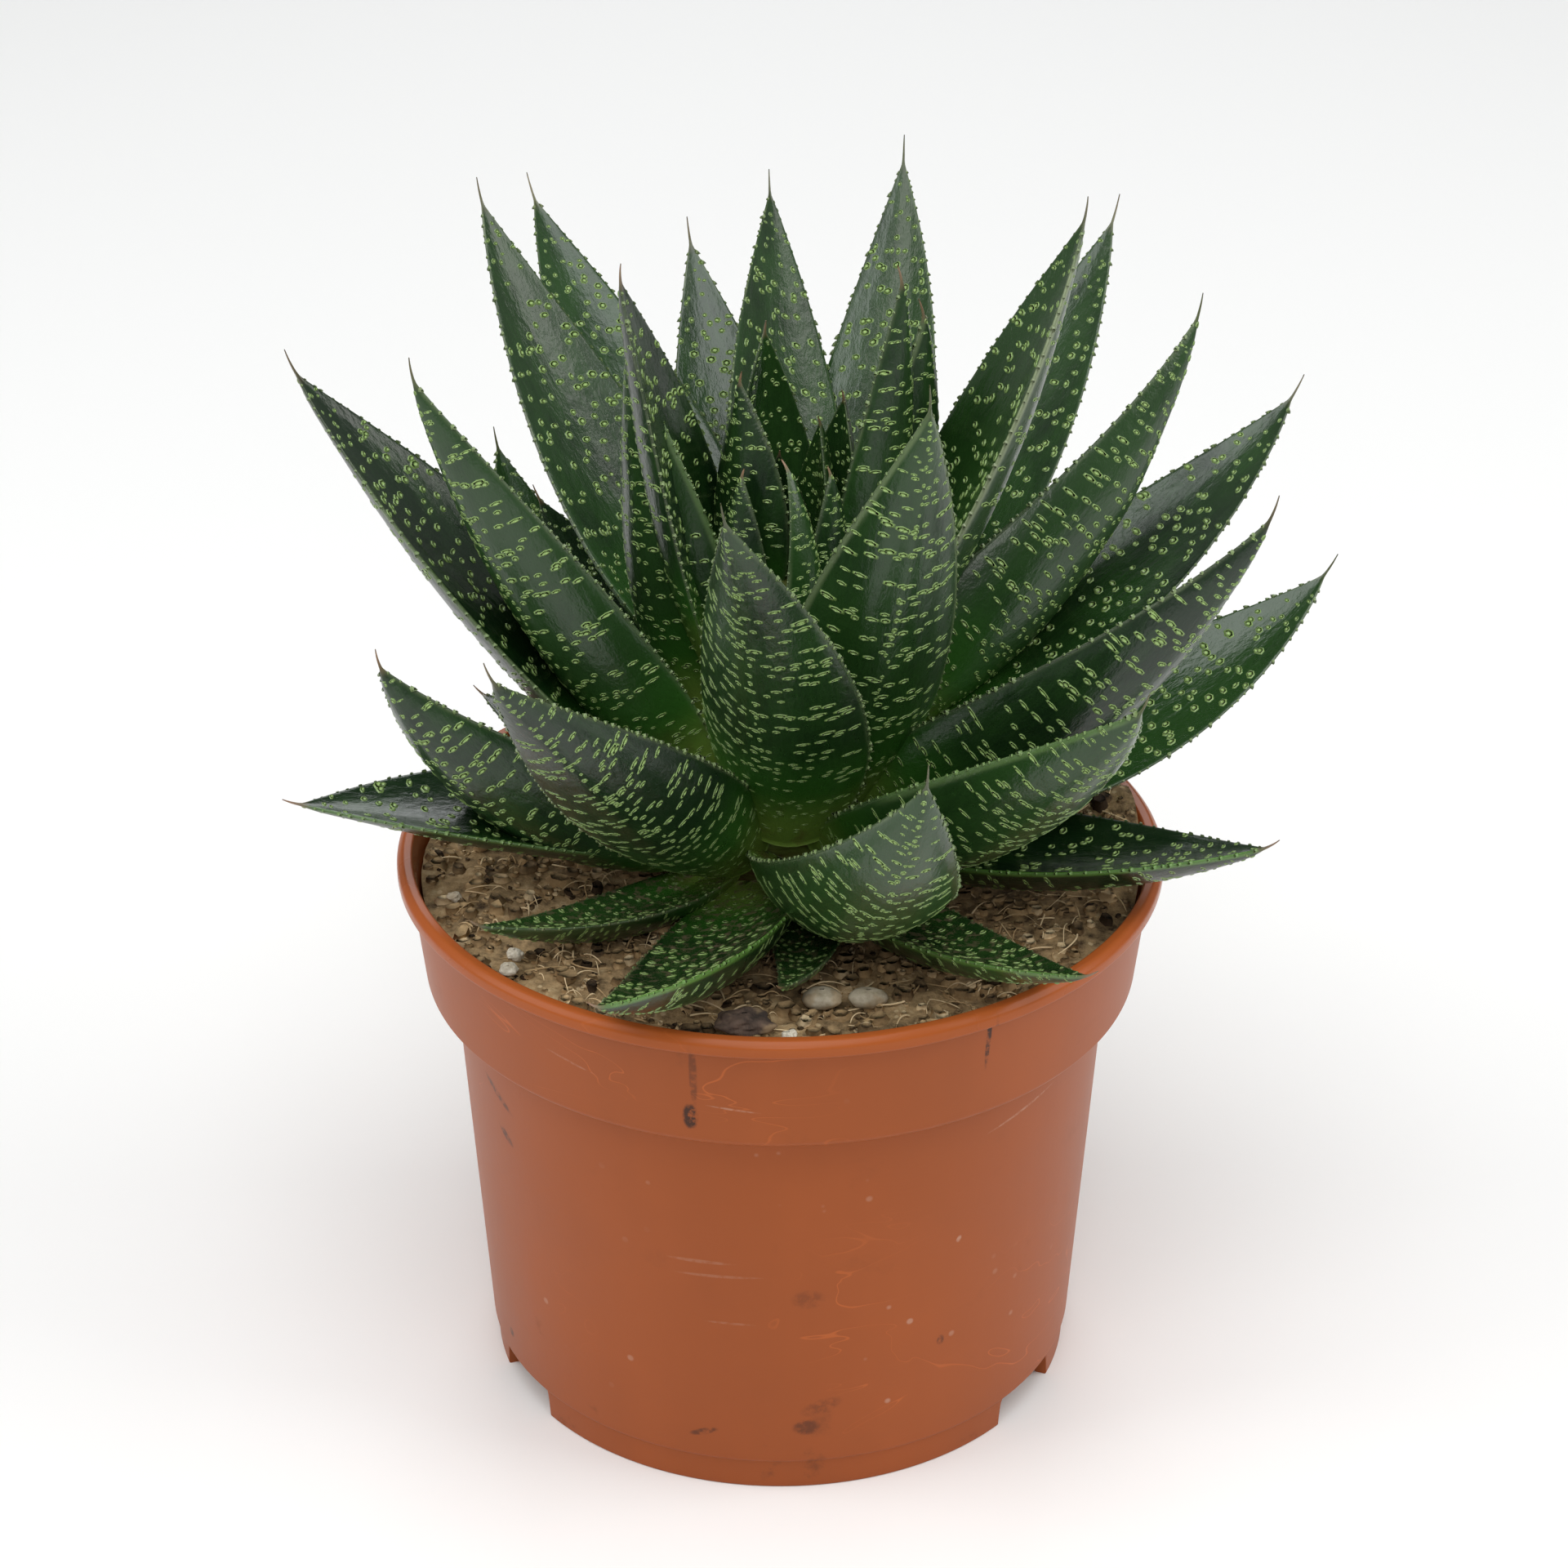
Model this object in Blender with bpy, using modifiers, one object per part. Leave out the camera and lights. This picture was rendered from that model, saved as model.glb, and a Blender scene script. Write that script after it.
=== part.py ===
"""Potted gasteria: a rosette of keeled, toothed leaves on a short stem, in a round nursery pot.

Metres, +Z up. The origin is on the ground under the middle of the pot, and -Y is the front.
Azimuths are in degrees round the stem: 0 points to the front, 90 to the right (+X).
"""

import math
from typing import NamedTuple

import bmesh
import bpy
import numpy as np
from mathutils import Vector, noise
from mathutils.bvhtree import BVHTree

MM = 0.001
GAP = 0.3 * MM
MERGE = 0.0001

# Pot, in millimetres: a 120 mm thin-walled nursery pot with a stepped collar.
RIM_RADIUS = 60.0
RIM_HEIGHT = 90.5
LIP_DEPTH = 2.6
LIP_OVERHANG = 1.9
COLLAR_RADIUS = 56.2
COLLAR_HEIGHT = 70.0
BODY_RADIUS = 51.8
FOOT_RADIUS = 46.9
FOOT_HEIGHT = 5.2
FOOT_STEP = 0.4
FOOT_WALL = 2.0
WALL = 1.2
FLOOR = 1.4
PAD_RADIUS = 31.0
PAD_SLOPE = 1.8
POT_SEGMENTS = 48

# Drainage: three notches in the foot and a ring of holes in the raised floor behind them.
NOTCH_COUNT = 3
NOTCH_WIDTH = 15.5
NOTCH_TURN = 58.0
HOLE_COUNT = 8
HOLE_RADIUS = 3.5
HOLE_CIRCLE = 38.8

# Soil, in millimetres, with a heap behind the plant on the right.
SOIL_LEVEL = 86.4
SOIL_SEGMENTS = 40
SOIL_RINGS = (22.0, 31.0, 40.0, 48.0, 53.5)
SOIL_ROUGHNESS = 0.7
SOIL_GRAIN = 9.0
HEAP_AZIMUTH = 99.0
HEAP_REACH = 53.0
HEAP_HEIGHT = 8.0
HEAP_SPREAD = 12.0

# Stem that carries the leaves: (radius, height) down its side, in millimetres.
STEM_PROFILE = (
    (2.0, 137.0),
    (4.0, 133.0),
    (6.3, 127.0),
    (8.8, 118.0),
    (11.0, 108.0),
    (12.5, 98.0),
    (12.5, 77.0),
)
STEM_SEGMENTS = 28
STEM_HOLE_DEPTH = 10.0

# Leaf shape, the same for every leaf, as shares of its own length and width.
WIDEST_AT = 0.30
ROOT_WIDTH = 0.62
TAPER = 0.92
THICKNESS = 0.22
CHANNEL = 0.10
SHOULDER = 0.6
SHOULDER_DROP = 0.66
HOOK_FROM = 0.86
HOOK_ANGLE = 22.0
TIP_WIDTH = 0.9
TIP_THICKNESS = 0.7
STATION_PITCH = 5.0
TOOTH = 0.6
CUT_CLEARANCE = 0.35


class Leaf(NamedTuple):
    """One leaf, in degrees and millimetres."""

    name: str
    azimuth: float
    sweep: float
    root_rise: float
    tip_rise: float
    root_height: float
    length: float
    width: float
    roll: float


LEAVES = (
    Leaf("leaf_ground_1", -44, -12, -5, 26, 90.0, 50, 15, 12),
    Leaf("leaf_ground_2", -11, -22, 1, 24, 90.5, 69, 21, 20),
    Leaf("leaf_ground_3", 12, -34, -7, 22, 90.0, 42, 11, 8),
    Leaf("leaf_ground_4", 33, 9, -1, 23, 90.0, 65, 17, -10),
    Leaf("leaf_low_1", -170, 0, 3, 19, 94.0, 63, 22, 4),
    Leaf("leaf_low_2", -125, 0, 1, 14, 92.5, 49, 20, -1),
    Leaf("leaf_low_3", -78, 6, 15, 10, 93.0, 66, 23, -8),
    Leaf("leaf_low_4", 75, -18, -6, 26, 94.5, 70, 24, -3),
    Leaf("leaf_low_5", 132, 0, 5, 18, 94.5, 58, 21, 0),
    Leaf("leaf_low_6", 165, 0, 9, 22, 98.0, 64, 22, -4),
    Leaf("leaf_outer_1", -143, 0, 18, 32, 100.5, 61, 20, 1),
    Leaf("leaf_outer_2", -133, -26, 10, 44, 98.0, 77, 22, 6),
    Leaf("leaf_outer_3", -66, -6, 15, 64, 93.0, 69, 26, 45),
    Leaf("leaf_outer_4", -26, -15, 35, 50, 95.0, 87, 22, 45),
    Leaf("leaf_outer_5", 14, 7, 8, 69, 93.0, 80, 28, -21),
    Leaf("leaf_outer_6", 46, -7, 26, 51, 94.0, 80, 28, -27),
    Leaf("leaf_outer_7", 92, 30, 5, 36, 98.5, 86, 26, 20),
    Leaf("leaf_outer_8", 174, -1, 13, 30, 101.5, 69, 21, 2),
    Leaf("leaf_middle_1", -175, 12, 18, 48, 106.0, 98, 24, -4),
    Leaf("leaf_middle_2", -157, 5, 27, 38, 109.5, 106, 26, -1),
    Leaf("leaf_middle_3", -92, -8, 46, 51, 100.0, 93, 27, -11),
    Leaf("leaf_middle_4", -78, -4, 53, 66, 103.5, 84, 26, 34),
    Leaf("leaf_middle_5", 1, -24, 66, 52, 101.0, 84, 27, -17),
    Leaf("leaf_middle_6", 60, 33, 28, 58, 99.5, 89, 26, -48),
    Leaf("leaf_middle_7", 106, 26, 24, 35, 103.5, 95, 26, 10),
    Leaf("leaf_middle_8", 141, 9, 23, 45, 108.5, 105, 25, 0),
    Leaf("leaf_middle_9", 144, 1, 20, 37, 103.0, 69, 21, 9),
    Leaf("leaf_upper_1", -180, 3, 30, 40, 119.5, 89, 25, 38),
    Leaf("leaf_upper_2", -141, -1, 29, 57, 113.5, 94, 25, 6),
    Leaf("leaf_upper_3", -97, -28, 76, 82, 113.0, 63, 23, 62),
    Leaf("leaf_upper_4", 29, 11, 63, 78, 104.5, 82, 26, -21),
    Leaf("leaf_upper_5", 97, 19, 62, 66, 116.0, 85, 25, -2),
    Leaf("leaf_upper_6", 101, 35, 30, 58, 110.0, 87, 26, -69),
    Leaf("leaf_upper_7", 159, 18, 28, 50, 113.0, 100, 25, -20),
    Leaf("leaf_inner_1", -172, 11, 73, 92, 125.0, 48, 17, 21),
    Leaf("leaf_inner_2", -90, 4, 78, 75, 123.5, 65, 22, -18),
    Leaf("leaf_inner_3", 107, -4, 74, 88, 122.5, 63, 20, -40),
    Leaf("leaf_inner_4", 117, -9, 63, 91, 118.5, 61, 22, -52),
    Leaf("leaf_inner_5", 141, 21, 25, 50, 111.0, 53, 15, -33),
    Leaf("leaf_heart_1", -119, 3, 94, 84, 130.5, 38, 17, 68),
    Leaf("leaf_heart_2", 23, 28, 77, 114, 124.0, 35, 11, 33),
    Leaf("leaf_heart_3", 137, -7, 70, 89, 127.5, 36, 15, -7),
    Leaf("leaf_heart_4", 141, -13, 74, 93, 131.0, 29, 13, -20),
    Leaf("leaf_heart_5", -55, 10, 76, 100, 131.0, 25, 11, 0),
    Leaf("leaf_heart_6", 62, -6, 74, 98, 129.5, 27, 11, 0),
    Leaf("leaf_heart_7", -178, 8, 78, 100, 133.0, 22, 10, 0),
)


class Grain(NamedTuple):
    """One loose grain on the soil, in millimetres and degrees."""

    name: str
    azimuth: float
    reach: float
    size: tuple
    turn: float
    kind: str


GRAINS = (
    Grain("pebble_front_left", 8.0, 44.0, (3.0, 2.3, 1.5), 20.0, "pebble"),
    Grain("pebble_front_right", 16.5, 45.5, (3.1, 2.0, 1.4), -15.0, "pebble"),
    Grain("bark_chip", -6.0, 51.0, (4.6, 3.0, 2.0), 10.0, "bark"),
    Grain("perlite_left_upper", -53.0, 50.0, (1.5, 1.2, 1.0), 30.0, "perlite"),
    Grain("perlite_left_lower", -49.5, 53.5, (1.3, 1.5, 1.0), 70.0, "perlite"),
    Grain("perlite_left_back", -76.0, 52.0, (1.2, 1.0, 0.8), 0.0, "perlite"),
    Grain("perlite_front", 1.5, 53.0, (1.4, 1.0, 0.9), 50.0, "perlite"),
)
GRAIN_LUMPINESS = {"pebble": 0.06, "bark": 0.22, "perlite": 0.25}


def clear_scene():
    for found in list(bpy.data.objects):
        bpy.data.objects.remove(found, do_unlink=True)


def new_collection(name):
    made = bpy.data.collections.new(name)
    bpy.context.scene.collection.children.link(made)
    return made


def material(name, colour, roughness):
    made = bpy.data.materials.new(name)
    made.use_nodes = True
    shader = made.node_tree.nodes["Principled BSDF"]
    shader.inputs["Base Color"].default_value = (*colour, 1.0)
    shader.inputs["Roughness"].default_value = roughness
    shader.inputs["Metallic"].default_value = 0.0
    return made


def leaf_material():
    return material("leaf_green", (0.045, 0.110, 0.040), 0.35)


def stem_material():
    return material("leaf_base_green", (0.240, 0.300, 0.070), 0.55)


def pot_material():
    return material("terracotta_plastic", (0.460, 0.125, 0.045), 0.40)


def soil_material():
    return material("peat_soil", (0.110, 0.060, 0.030), 0.95)


def grain_materials():
    return {
        "pebble": material("pale_pebble", (0.560, 0.500, 0.400), 0.60),
        "bark": material("dark_bark", (0.070, 0.042, 0.030), 0.80),
        "perlite": material("perlite", (0.800, 0.760, 0.680), 0.85),
    }


def add_mesh(name, points, faces, collection, surface):
    """An object of these points, in millimetres, with its faces turned out."""
    mesh = bpy.data.meshes.new(name)
    mesh.from_pydata([Vector(point) * MM for point in points], [], faces)
    shape = bmesh.new()
    shape.from_mesh(mesh)
    bmesh.ops.recalc_face_normals(shape, faces=shape.faces)
    shape.to_mesh(mesh)
    shape.free()
    mesh.materials.append(surface)
    made = bpy.data.objects.new(name, mesh)
    collection.objects.link(made)
    return made


def add_turned(name, profile, segments, collection, surface):
    """A body turned round Z from (radius, height) pairs that run down its outer side."""
    mesh = bpy.data.meshes.new(name)
    points = [(radius * MM, 0.0, height * MM) for radius, height in profile]
    edges = [(index, index + 1) for index in range(len(points) - 1)]
    mesh.from_pydata(points, edges, [])
    mesh.materials.append(surface)
    made = bpy.data.objects.new(name, mesh)
    collection.objects.link(made)
    screw = made.modifiers.new("turn", "SCREW")
    screw.steps = segments
    screw.render_steps = segments
    screw.use_merge_vertices = True
    screw.merge_threshold = MERGE
    screw.use_smooth_shade = False
    return made


def evaluated_mesh(shape):
    bpy.context.view_layer.update()
    graph = bpy.context.evaluated_depsgraph_get()
    return bpy.data.meshes.new_from_object(shape.evaluated_get(graph))


def make_cutter(shape):
    shape.hide_render = True
    shape.display_type = "WIRE"
    return shape


def subtract(shape, cutter):
    cut = shape.modifiers.new(cutter.name, "BOOLEAN")
    cut.operation = "DIFFERENCE"
    cut.solver = "EXACT"
    cut.object = cutter


def surface_tree(shape):
    graph = bpy.context.evaluated_depsgraph_get()
    return BVHTree.FromObject(shape, graph)


def subtract_touching(shape, cutters):
    """Cuts the shape by each cutter that crosses its surface, and says whether any did."""
    bpy.context.view_layer.update()
    tree = surface_tree(shape)
    touching = [cutter for cutter in cutters if tree.overlap(surface_tree(cutter))]
    for cutter in touching:
        subtract(shape, cutter)
    return bool(touching)


def islands(shape):
    """The connected groups of faces in a bmesh."""
    unseen = set(shape.faces)
    while unseen:
        group = set()
        waiting = [unseen.pop()]
        while waiting:
            face = waiting.pop()
            group.add(face)
            beside = {near for edge in face.edges for near in edge.link_faces}
            waiting.extend(beside & unseen)
            unseen -= beside
        yield group


def keep_largest_body(shape):
    """Applies the cuts and drops the scraps that they leave loose."""
    mesh = evaluated_mesh(shape)
    work = bmesh.new()
    work.from_mesh(mesh)
    groups = sorted(islands(work), key=lambda group: sum(face.calc_area() for face in group))
    scraps = [face for group in groups[:-1] for face in group]
    bmesh.ops.delete(work, geom=scraps, context="FACES")
    work.to_mesh(mesh)
    work.free()
    shape.modifiers.clear()
    shape.data = mesh


def body_radius(height):
    """Outer radius of the pot's tapered body at a height."""
    return FOOT_RADIUS + (BODY_RADIUS - FOOT_RADIUS) * height / COLLAR_HEIGHT


def pot_profile():
    lip_bottom = RIM_HEIGHT - LIP_DEPTH
    neck = RIM_RADIUS - LIP_OVERHANG
    floor_top = FOOT_HEIGHT + 0.4 + FLOOR
    return (
        (0.0, FLOOR),
        (PAD_RADIUS - PAD_SLOPE, FLOOR),
        (PAD_RADIUS, floor_top),
        (body_radius(floor_top) - WALL, floor_top),
        (body_radius(COLLAR_HEIGHT) - WALL, COLLAR_HEIGHT + 0.4),
        (COLLAR_RADIUS - WALL, COLLAR_HEIGHT + 1.4),
        (neck - WALL, lip_bottom - 0.4),
        (neck - 0.4, RIM_HEIGHT - 0.4),
        (neck + 0.1, RIM_HEIGHT),
        (RIM_RADIUS - 0.4, RIM_HEIGHT),
        (RIM_RADIUS, RIM_HEIGHT - 0.4),
        (RIM_RADIUS, lip_bottom),
        (neck, lip_bottom - 0.5),
        (COLLAR_RADIUS, COLLAR_HEIGHT + 0.5),
        (COLLAR_RADIUS - 0.5, COLLAR_HEIGHT),
        (body_radius(COLLAR_HEIGHT), COLLAR_HEIGHT - 0.7),
        (body_radius(FOOT_HEIGHT) + FOOT_STEP, FOOT_HEIGHT + 0.3),
        (FOOT_RADIUS + 0.1, FOOT_HEIGHT),
        (FOOT_RADIUS, 0.0),
        (FOOT_RADIUS - FOOT_WALL, 0.0),
        (FOOT_RADIUS - FOOT_WALL, FOOT_HEIGHT + 0.4),
        (PAD_RADIUS + FLOOR, FOOT_HEIGHT + 0.4),
        (PAD_RADIUS + FLOOR - PAD_SLOPE, 0.0),
        (0.0, 0.0),
    )


def on_circle(azimuth, reach, height=0.0):
    angle = math.radians(azimuth)
    return Vector((reach * math.sin(angle), -reach * math.cos(angle), height)) * MM


def add_notch_cutter(azimuth, collection):
    depth = FOOT_WALL + 6.0
    bpy.ops.mesh.primitive_cube_add(size=1.0)
    cutter = bpy.context.object
    cutter.name = f"cutter_notch_{azimuth:.0f}"
    cutter.scale = (NOTCH_WIDTH * MM, depth * MM, 2.0 * FOOT_HEIGHT * MM)
    cutter.location = on_circle(azimuth, FOOT_RADIUS)
    cutter.rotation_euler.z = math.radians(azimuth)
    move_to(cutter, collection)
    return make_cutter(cutter)


def add_hole_cutter(azimuth, collection):
    bpy.ops.mesh.primitive_cylinder_add(
        vertices=12, radius=HOLE_RADIUS * MM, depth=4.0 * FLOOR * MM
    )
    cutter = bpy.context.object
    cutter.name = f"cutter_hole_{azimuth:.0f}"
    cutter.location = on_circle(azimuth, HOLE_CIRCLE, FOOT_HEIGHT + 1.0)
    move_to(cutter, collection)
    return make_cutter(cutter)


def move_to(shape, collection):
    for holder in list(shape.users_collection):
        holder.objects.unlink(shape)
    collection.objects.link(shape)


def add_pot(collection, cutters):
    pot = add_turned("pot", pot_profile(), POT_SEGMENTS, collection, pot_material())
    for index in range(NOTCH_COUNT):
        azimuth = NOTCH_TURN + index * 360.0 / NOTCH_COUNT
        subtract(pot, add_notch_cutter(azimuth, cutters))
    for index in range(HOLE_COUNT):
        azimuth = (index + 0.5) * 360.0 / HOLE_COUNT
        subtract(pot, add_hole_cutter(azimuth, cutters))
    return pot


def soil_height(x, y):
    """Top of the soil: a rough level with a heap, in millimetres."""
    heap_angle = math.radians(HEAP_AZIMUTH)
    away = math.hypot(
        x - HEAP_REACH * math.sin(heap_angle), y + HEAP_REACH * math.cos(heap_angle)
    )
    heap = HEAP_HEIGHT * math.exp(-((away / HEAP_SPREAD) ** 2))
    rough = SOIL_ROUGHNESS * noise.noise(Vector((x, y, 0.0)) / SOIL_GRAIN)
    return SOIL_LEVEL + heap + rough


def soil_profile():
    gap = GAP / MM
    stem_radius = STEM_PROFILE[-1][0]
    floor_top = FOOT_HEIGHT + 0.4 + FLOOR + gap
    top_edge = RIM_RADIUS - LIP_OVERHANG - WALL - gap - 0.3
    return (
        (0.0, SOIL_LEVEL - STEM_HOLE_DEPTH),
        (stem_radius + gap, SOIL_LEVEL - STEM_HOLE_DEPTH),
        (stem_radius + gap, SOIL_LEVEL),
        *((radius, SOIL_LEVEL) for radius in SOIL_RINGS),
        (top_edge, SOIL_LEVEL),
        (COLLAR_RADIUS - WALL - 2.0 * gap, COLLAR_HEIGHT + 2.0),
        (body_radius(COLLAR_HEIGHT) - WALL - 2.0 * gap, COLLAR_HEIGHT + 0.8),
        (body_radius(floor_top) - WALL - 2.0 * gap, floor_top),
        (PAD_RADIUS - 0.3, floor_top),
        (PAD_RADIUS - PAD_SLOPE - 0.5, FLOOR + gap),
        (0.0, FLOOR + gap),
    )


def add_soil(collection):
    """A turned body whose top is then given the soil's own rough height."""
    soil = add_turned("soil", soil_profile(), SOIL_SEGMENTS, collection, soil_material())
    mesh = evaluated_mesh(soil)
    for vertex in mesh.vertices:
        if abs(vertex.co.z - SOIL_LEVEL * MM) < MERGE:
            vertex.co.z = soil_height(vertex.co.x / MM, vertex.co.y / MM) * MM
    soil.modifiers.clear()
    soil.data = mesh
    work = bmesh.new()
    work.from_mesh(mesh)
    bmesh.ops.triangulate(work, faces=work.faces)
    work.to_mesh(mesh)
    work.free()
    return soil


def add_stem(collection):
    profile = ((0.0, STEM_PROFILE[0][1] + 1.0), *STEM_PROFILE, (0.0, STEM_PROFILE[-1][1]))
    return add_turned("stem", profile, STEM_SEGMENTS, collection, stem_material())


def stem_radius_at(height):
    heights = [point[1] for point in reversed(STEM_PROFILE)]
    radii = [point[0] for point in reversed(STEM_PROFILE)]
    return float(np.interp(height, heights, radii))


def width_share(along):
    """Width at each share of the length: swells from the root, then tapers like a sine to the tip."""
    swell = ROOT_WIDTH + (1.0 - ROOT_WIDTH) * np.sin(
        0.5 * np.pi * np.clip(along / WIDEST_AT, 0.0, 1.0)
    )
    left = np.clip((1.0 - along) / (1.0 - WIDEST_AT), 0.0, 1.0)
    taper = np.sin(0.5 * np.pi * left) ** TAPER
    return np.where(along < WIDEST_AT, swell, taper)


def leaf_path(leaf, stations):
    """Midrib points with the direction across the leaf and the direction out of its inner face.

    The midrib climbs at an angle that changes evenly from root to tip, with a hook at the end,
    while it turns evenly sideways.
    """
    along = np.linspace(0.0, 1.0, stations)
    hook = HOOK_ANGLE * np.clip((along - HOOK_FROM) / (1.0 - HOOK_FROM), 0.0, 1.0) ** 2
    rise = np.radians(leaf.root_rise + (leaf.tip_rise - leaf.root_rise) * along + hook)
    turn = np.radians(leaf.azimuth + leaf.sweep * along)
    ahead = np.stack(
        [np.cos(rise) * np.sin(turn), -np.cos(rise) * np.cos(turn), np.sin(rise)], axis=1
    )
    steps = 0.5 * (ahead[1:] + ahead[:-1]) * leaf.length / (stations - 1)
    root_rise = math.radians(min(max(leaf.root_rise, 0.0), 90.0))
    root_reach = stem_radius_at(leaf.root_height) + 0.5
    root_reach += CHANNEL * ROOT_WIDTH * leaf.width * math.sin(root_rise)
    root = np.array(on_circle(leaf.azimuth, root_reach, leaf.root_height)) / MM
    points = np.vstack([root, root + np.cumsum(steps, axis=0)])
    level = np.stack([np.cos(turn), np.sin(turn), 0.0 * turn], axis=1)
    upward = np.cross(ahead, level)
    roll = math.radians(leaf.roll)
    across = level * math.cos(roll) + upward * math.sin(roll)
    inward = upward * math.cos(roll) - level * math.sin(roll)
    return along, points, across, inward


def leaf_rings(leaf, grow):
    """Six points round each station: margin, midline and margin inside, then shoulders and keel."""
    stations = 2 * round(leaf.length / STATION_PITCH / 2.0) + 1
    along, points, across, inward = leaf_path(leaf, stations)
    share = width_share(along)
    width = np.maximum(leaf.width * share, TIP_WIDTH)
    thick = np.maximum(THICKNESS * leaf.width * share**TAPER, TIP_THICKNESS) + grow
    lift = CHANNEL * width
    toothed = (np.arange(stations) % 2 == 1) & (along > 0.1) & (along < 0.93)
    margin = 0.5 * width + grow + TOOTH * toothed
    shoulder = SHOULDER * 0.5 * width + grow
    shoulder_drop = -SHOULDER_DROP * thick + SHOULDER**2 * lift
    none = np.zeros(stations)
    out = np.stack([-margin, none, margin, shoulder, none, -shoulder], axis=1)
    up = np.stack(
        [lift + grow, none + grow, lift + grow, shoulder_drop, -thick, shoulder_drop], axis=1
    )
    if grow:
        points = points.copy()
        points[0] -= (points[1] - points[0]) * 0.1
    return points[:, None] + across[:, None] * out[..., None] + inward[:, None] * up[..., None]


def leaf_faces(stations):
    """Triangles between the rings, split alike on both faces from the margins, with flat ends."""
    sides = 6
    from_first = (True, False, True, True, False, False)
    faces = []
    for station in range(stations - 1):
        near = station * sides
        far = near + sides
        for side in range(sides):
            after = (side + 1) % sides
            a, b, c, d = near + side, near + after, far + after, far + side
            if from_first[side]:
                faces += [(a, b, c), (a, c, d)]
            else:
                faces += [(a, b, d), (b, c, d)]
    last = (stations - 1) * sides
    for start, order in ((0, -1), (last, 1)):
        ring = [start + side for side in range(sides)][::order]
        faces += [(ring[0], ring[1], ring[5]), (ring[1], ring[2], ring[3])]
        faces += [(ring[1], ring[3], ring[4]), (ring[1], ring[4], ring[5])]
    return faces


def add_leaf(leaf, collection, surface, grow=0.0, prefix=""):
    rings = leaf_rings(leaf, grow)
    points = rings.reshape(-1, 3).tolist()
    faces = leaf_faces(len(rings))
    return add_mesh(prefix + leaf.name, points, faces, collection, surface)


def add_leaves(collection, cutters):
    """Leaves from the lowest up: each gives way to those below it that it would press into."""
    surface = leaf_material()
    made = []
    for leaf in sorted(LEAVES, key=lambda leaf: leaf.root_height):
        shape = add_leaf(leaf, collection, surface)
        if subtract_touching(shape, made):
            keep_largest_body(shape)
        made.append(make_cutter(add_leaf(leaf, cutters, surface, CUT_CLEARANCE, "cutter_")))
    return made


def add_grain(grain, soil, collection, surface):
    """A lumpy ball pressed flat to its size and set down on the soil."""
    bpy.ops.mesh.primitive_ico_sphere_add(subdivisions=2, radius=1.0)
    made = bpy.context.object
    made.name = grain.name
    lumpiness = GRAIN_LUMPINESS[grain.kind]
    offset = Vector((grain.azimuth, grain.reach, 0.0))
    for vertex in made.data.vertices:
        bump = 1.0 + lumpiness * noise.noise(vertex.co * 1.3 + offset)
        size = Vector(grain.size)
        vertex.co = Vector([part * bump * scale * MM for part, scale in zip(vertex.co, size)])
    made.data.materials.append(surface)
    made.rotation_euler.z = math.radians(grain.turn)
    made.location = on_circle(grain.azimuth, grain.reach, RIM_HEIGHT + 10.0)
    move_to(made, collection)
    set_down(made, soil)
    return made


def set_down(piece, ground):
    """Lowers the piece until it is a gap above the ground, measured both ways between them."""
    bpy.context.view_layer.update()
    down = Vector((0.0, 0.0, -1.0))
    ground_tree = surface_tree(ground)
    turned = [piece.matrix_world @ vertex.co for vertex in piece.data.vertices]
    faces = [tuple(polygon.vertices) for polygon in piece.data.polygons]
    piece_tree = BVHTree.FromPolygons(turned, faces)
    drops = [ground_tree.ray_cast(point, down)[3] for point in turned]
    below = [ground.matrix_world @ vertex.co for vertex in ground.data.vertices]
    drops += [piece_tree.ray_cast(point, -down)[3] for point in below]
    piece.location.z -= min(drop for drop in drops if drop is not None) - GAP


def main():
    clear_scene()
    parts = new_collection("potted_gasteria")
    cutters = new_collection("cutters")
    add_pot(parts, cutters)
    soil = add_soil(parts)
    stem = add_stem(parts)
    leaf_cutters = add_leaves(parts, cutters)
    subtract_touching(stem, leaf_cutters)
    subtract_touching(soil, leaf_cutters)
    surfaces = grain_materials()
    for grain in GRAINS:
        add_grain(grain, soil, parts, surfaces[grain.kind])


main()
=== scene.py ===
"""Potted gasteria: fleshy spotted leaves on a short stem, peat soil with grains, and a nursery pot.

Metres, +Z up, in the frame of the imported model. Sizes inside the formulas are millimetres,
and become metres where a mesh is made. Azimuths are degrees round the stem: 0 points to the
front (-Y) and 90 to the right (+X).
"""

import itertools
import math
from typing import NamedTuple

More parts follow.
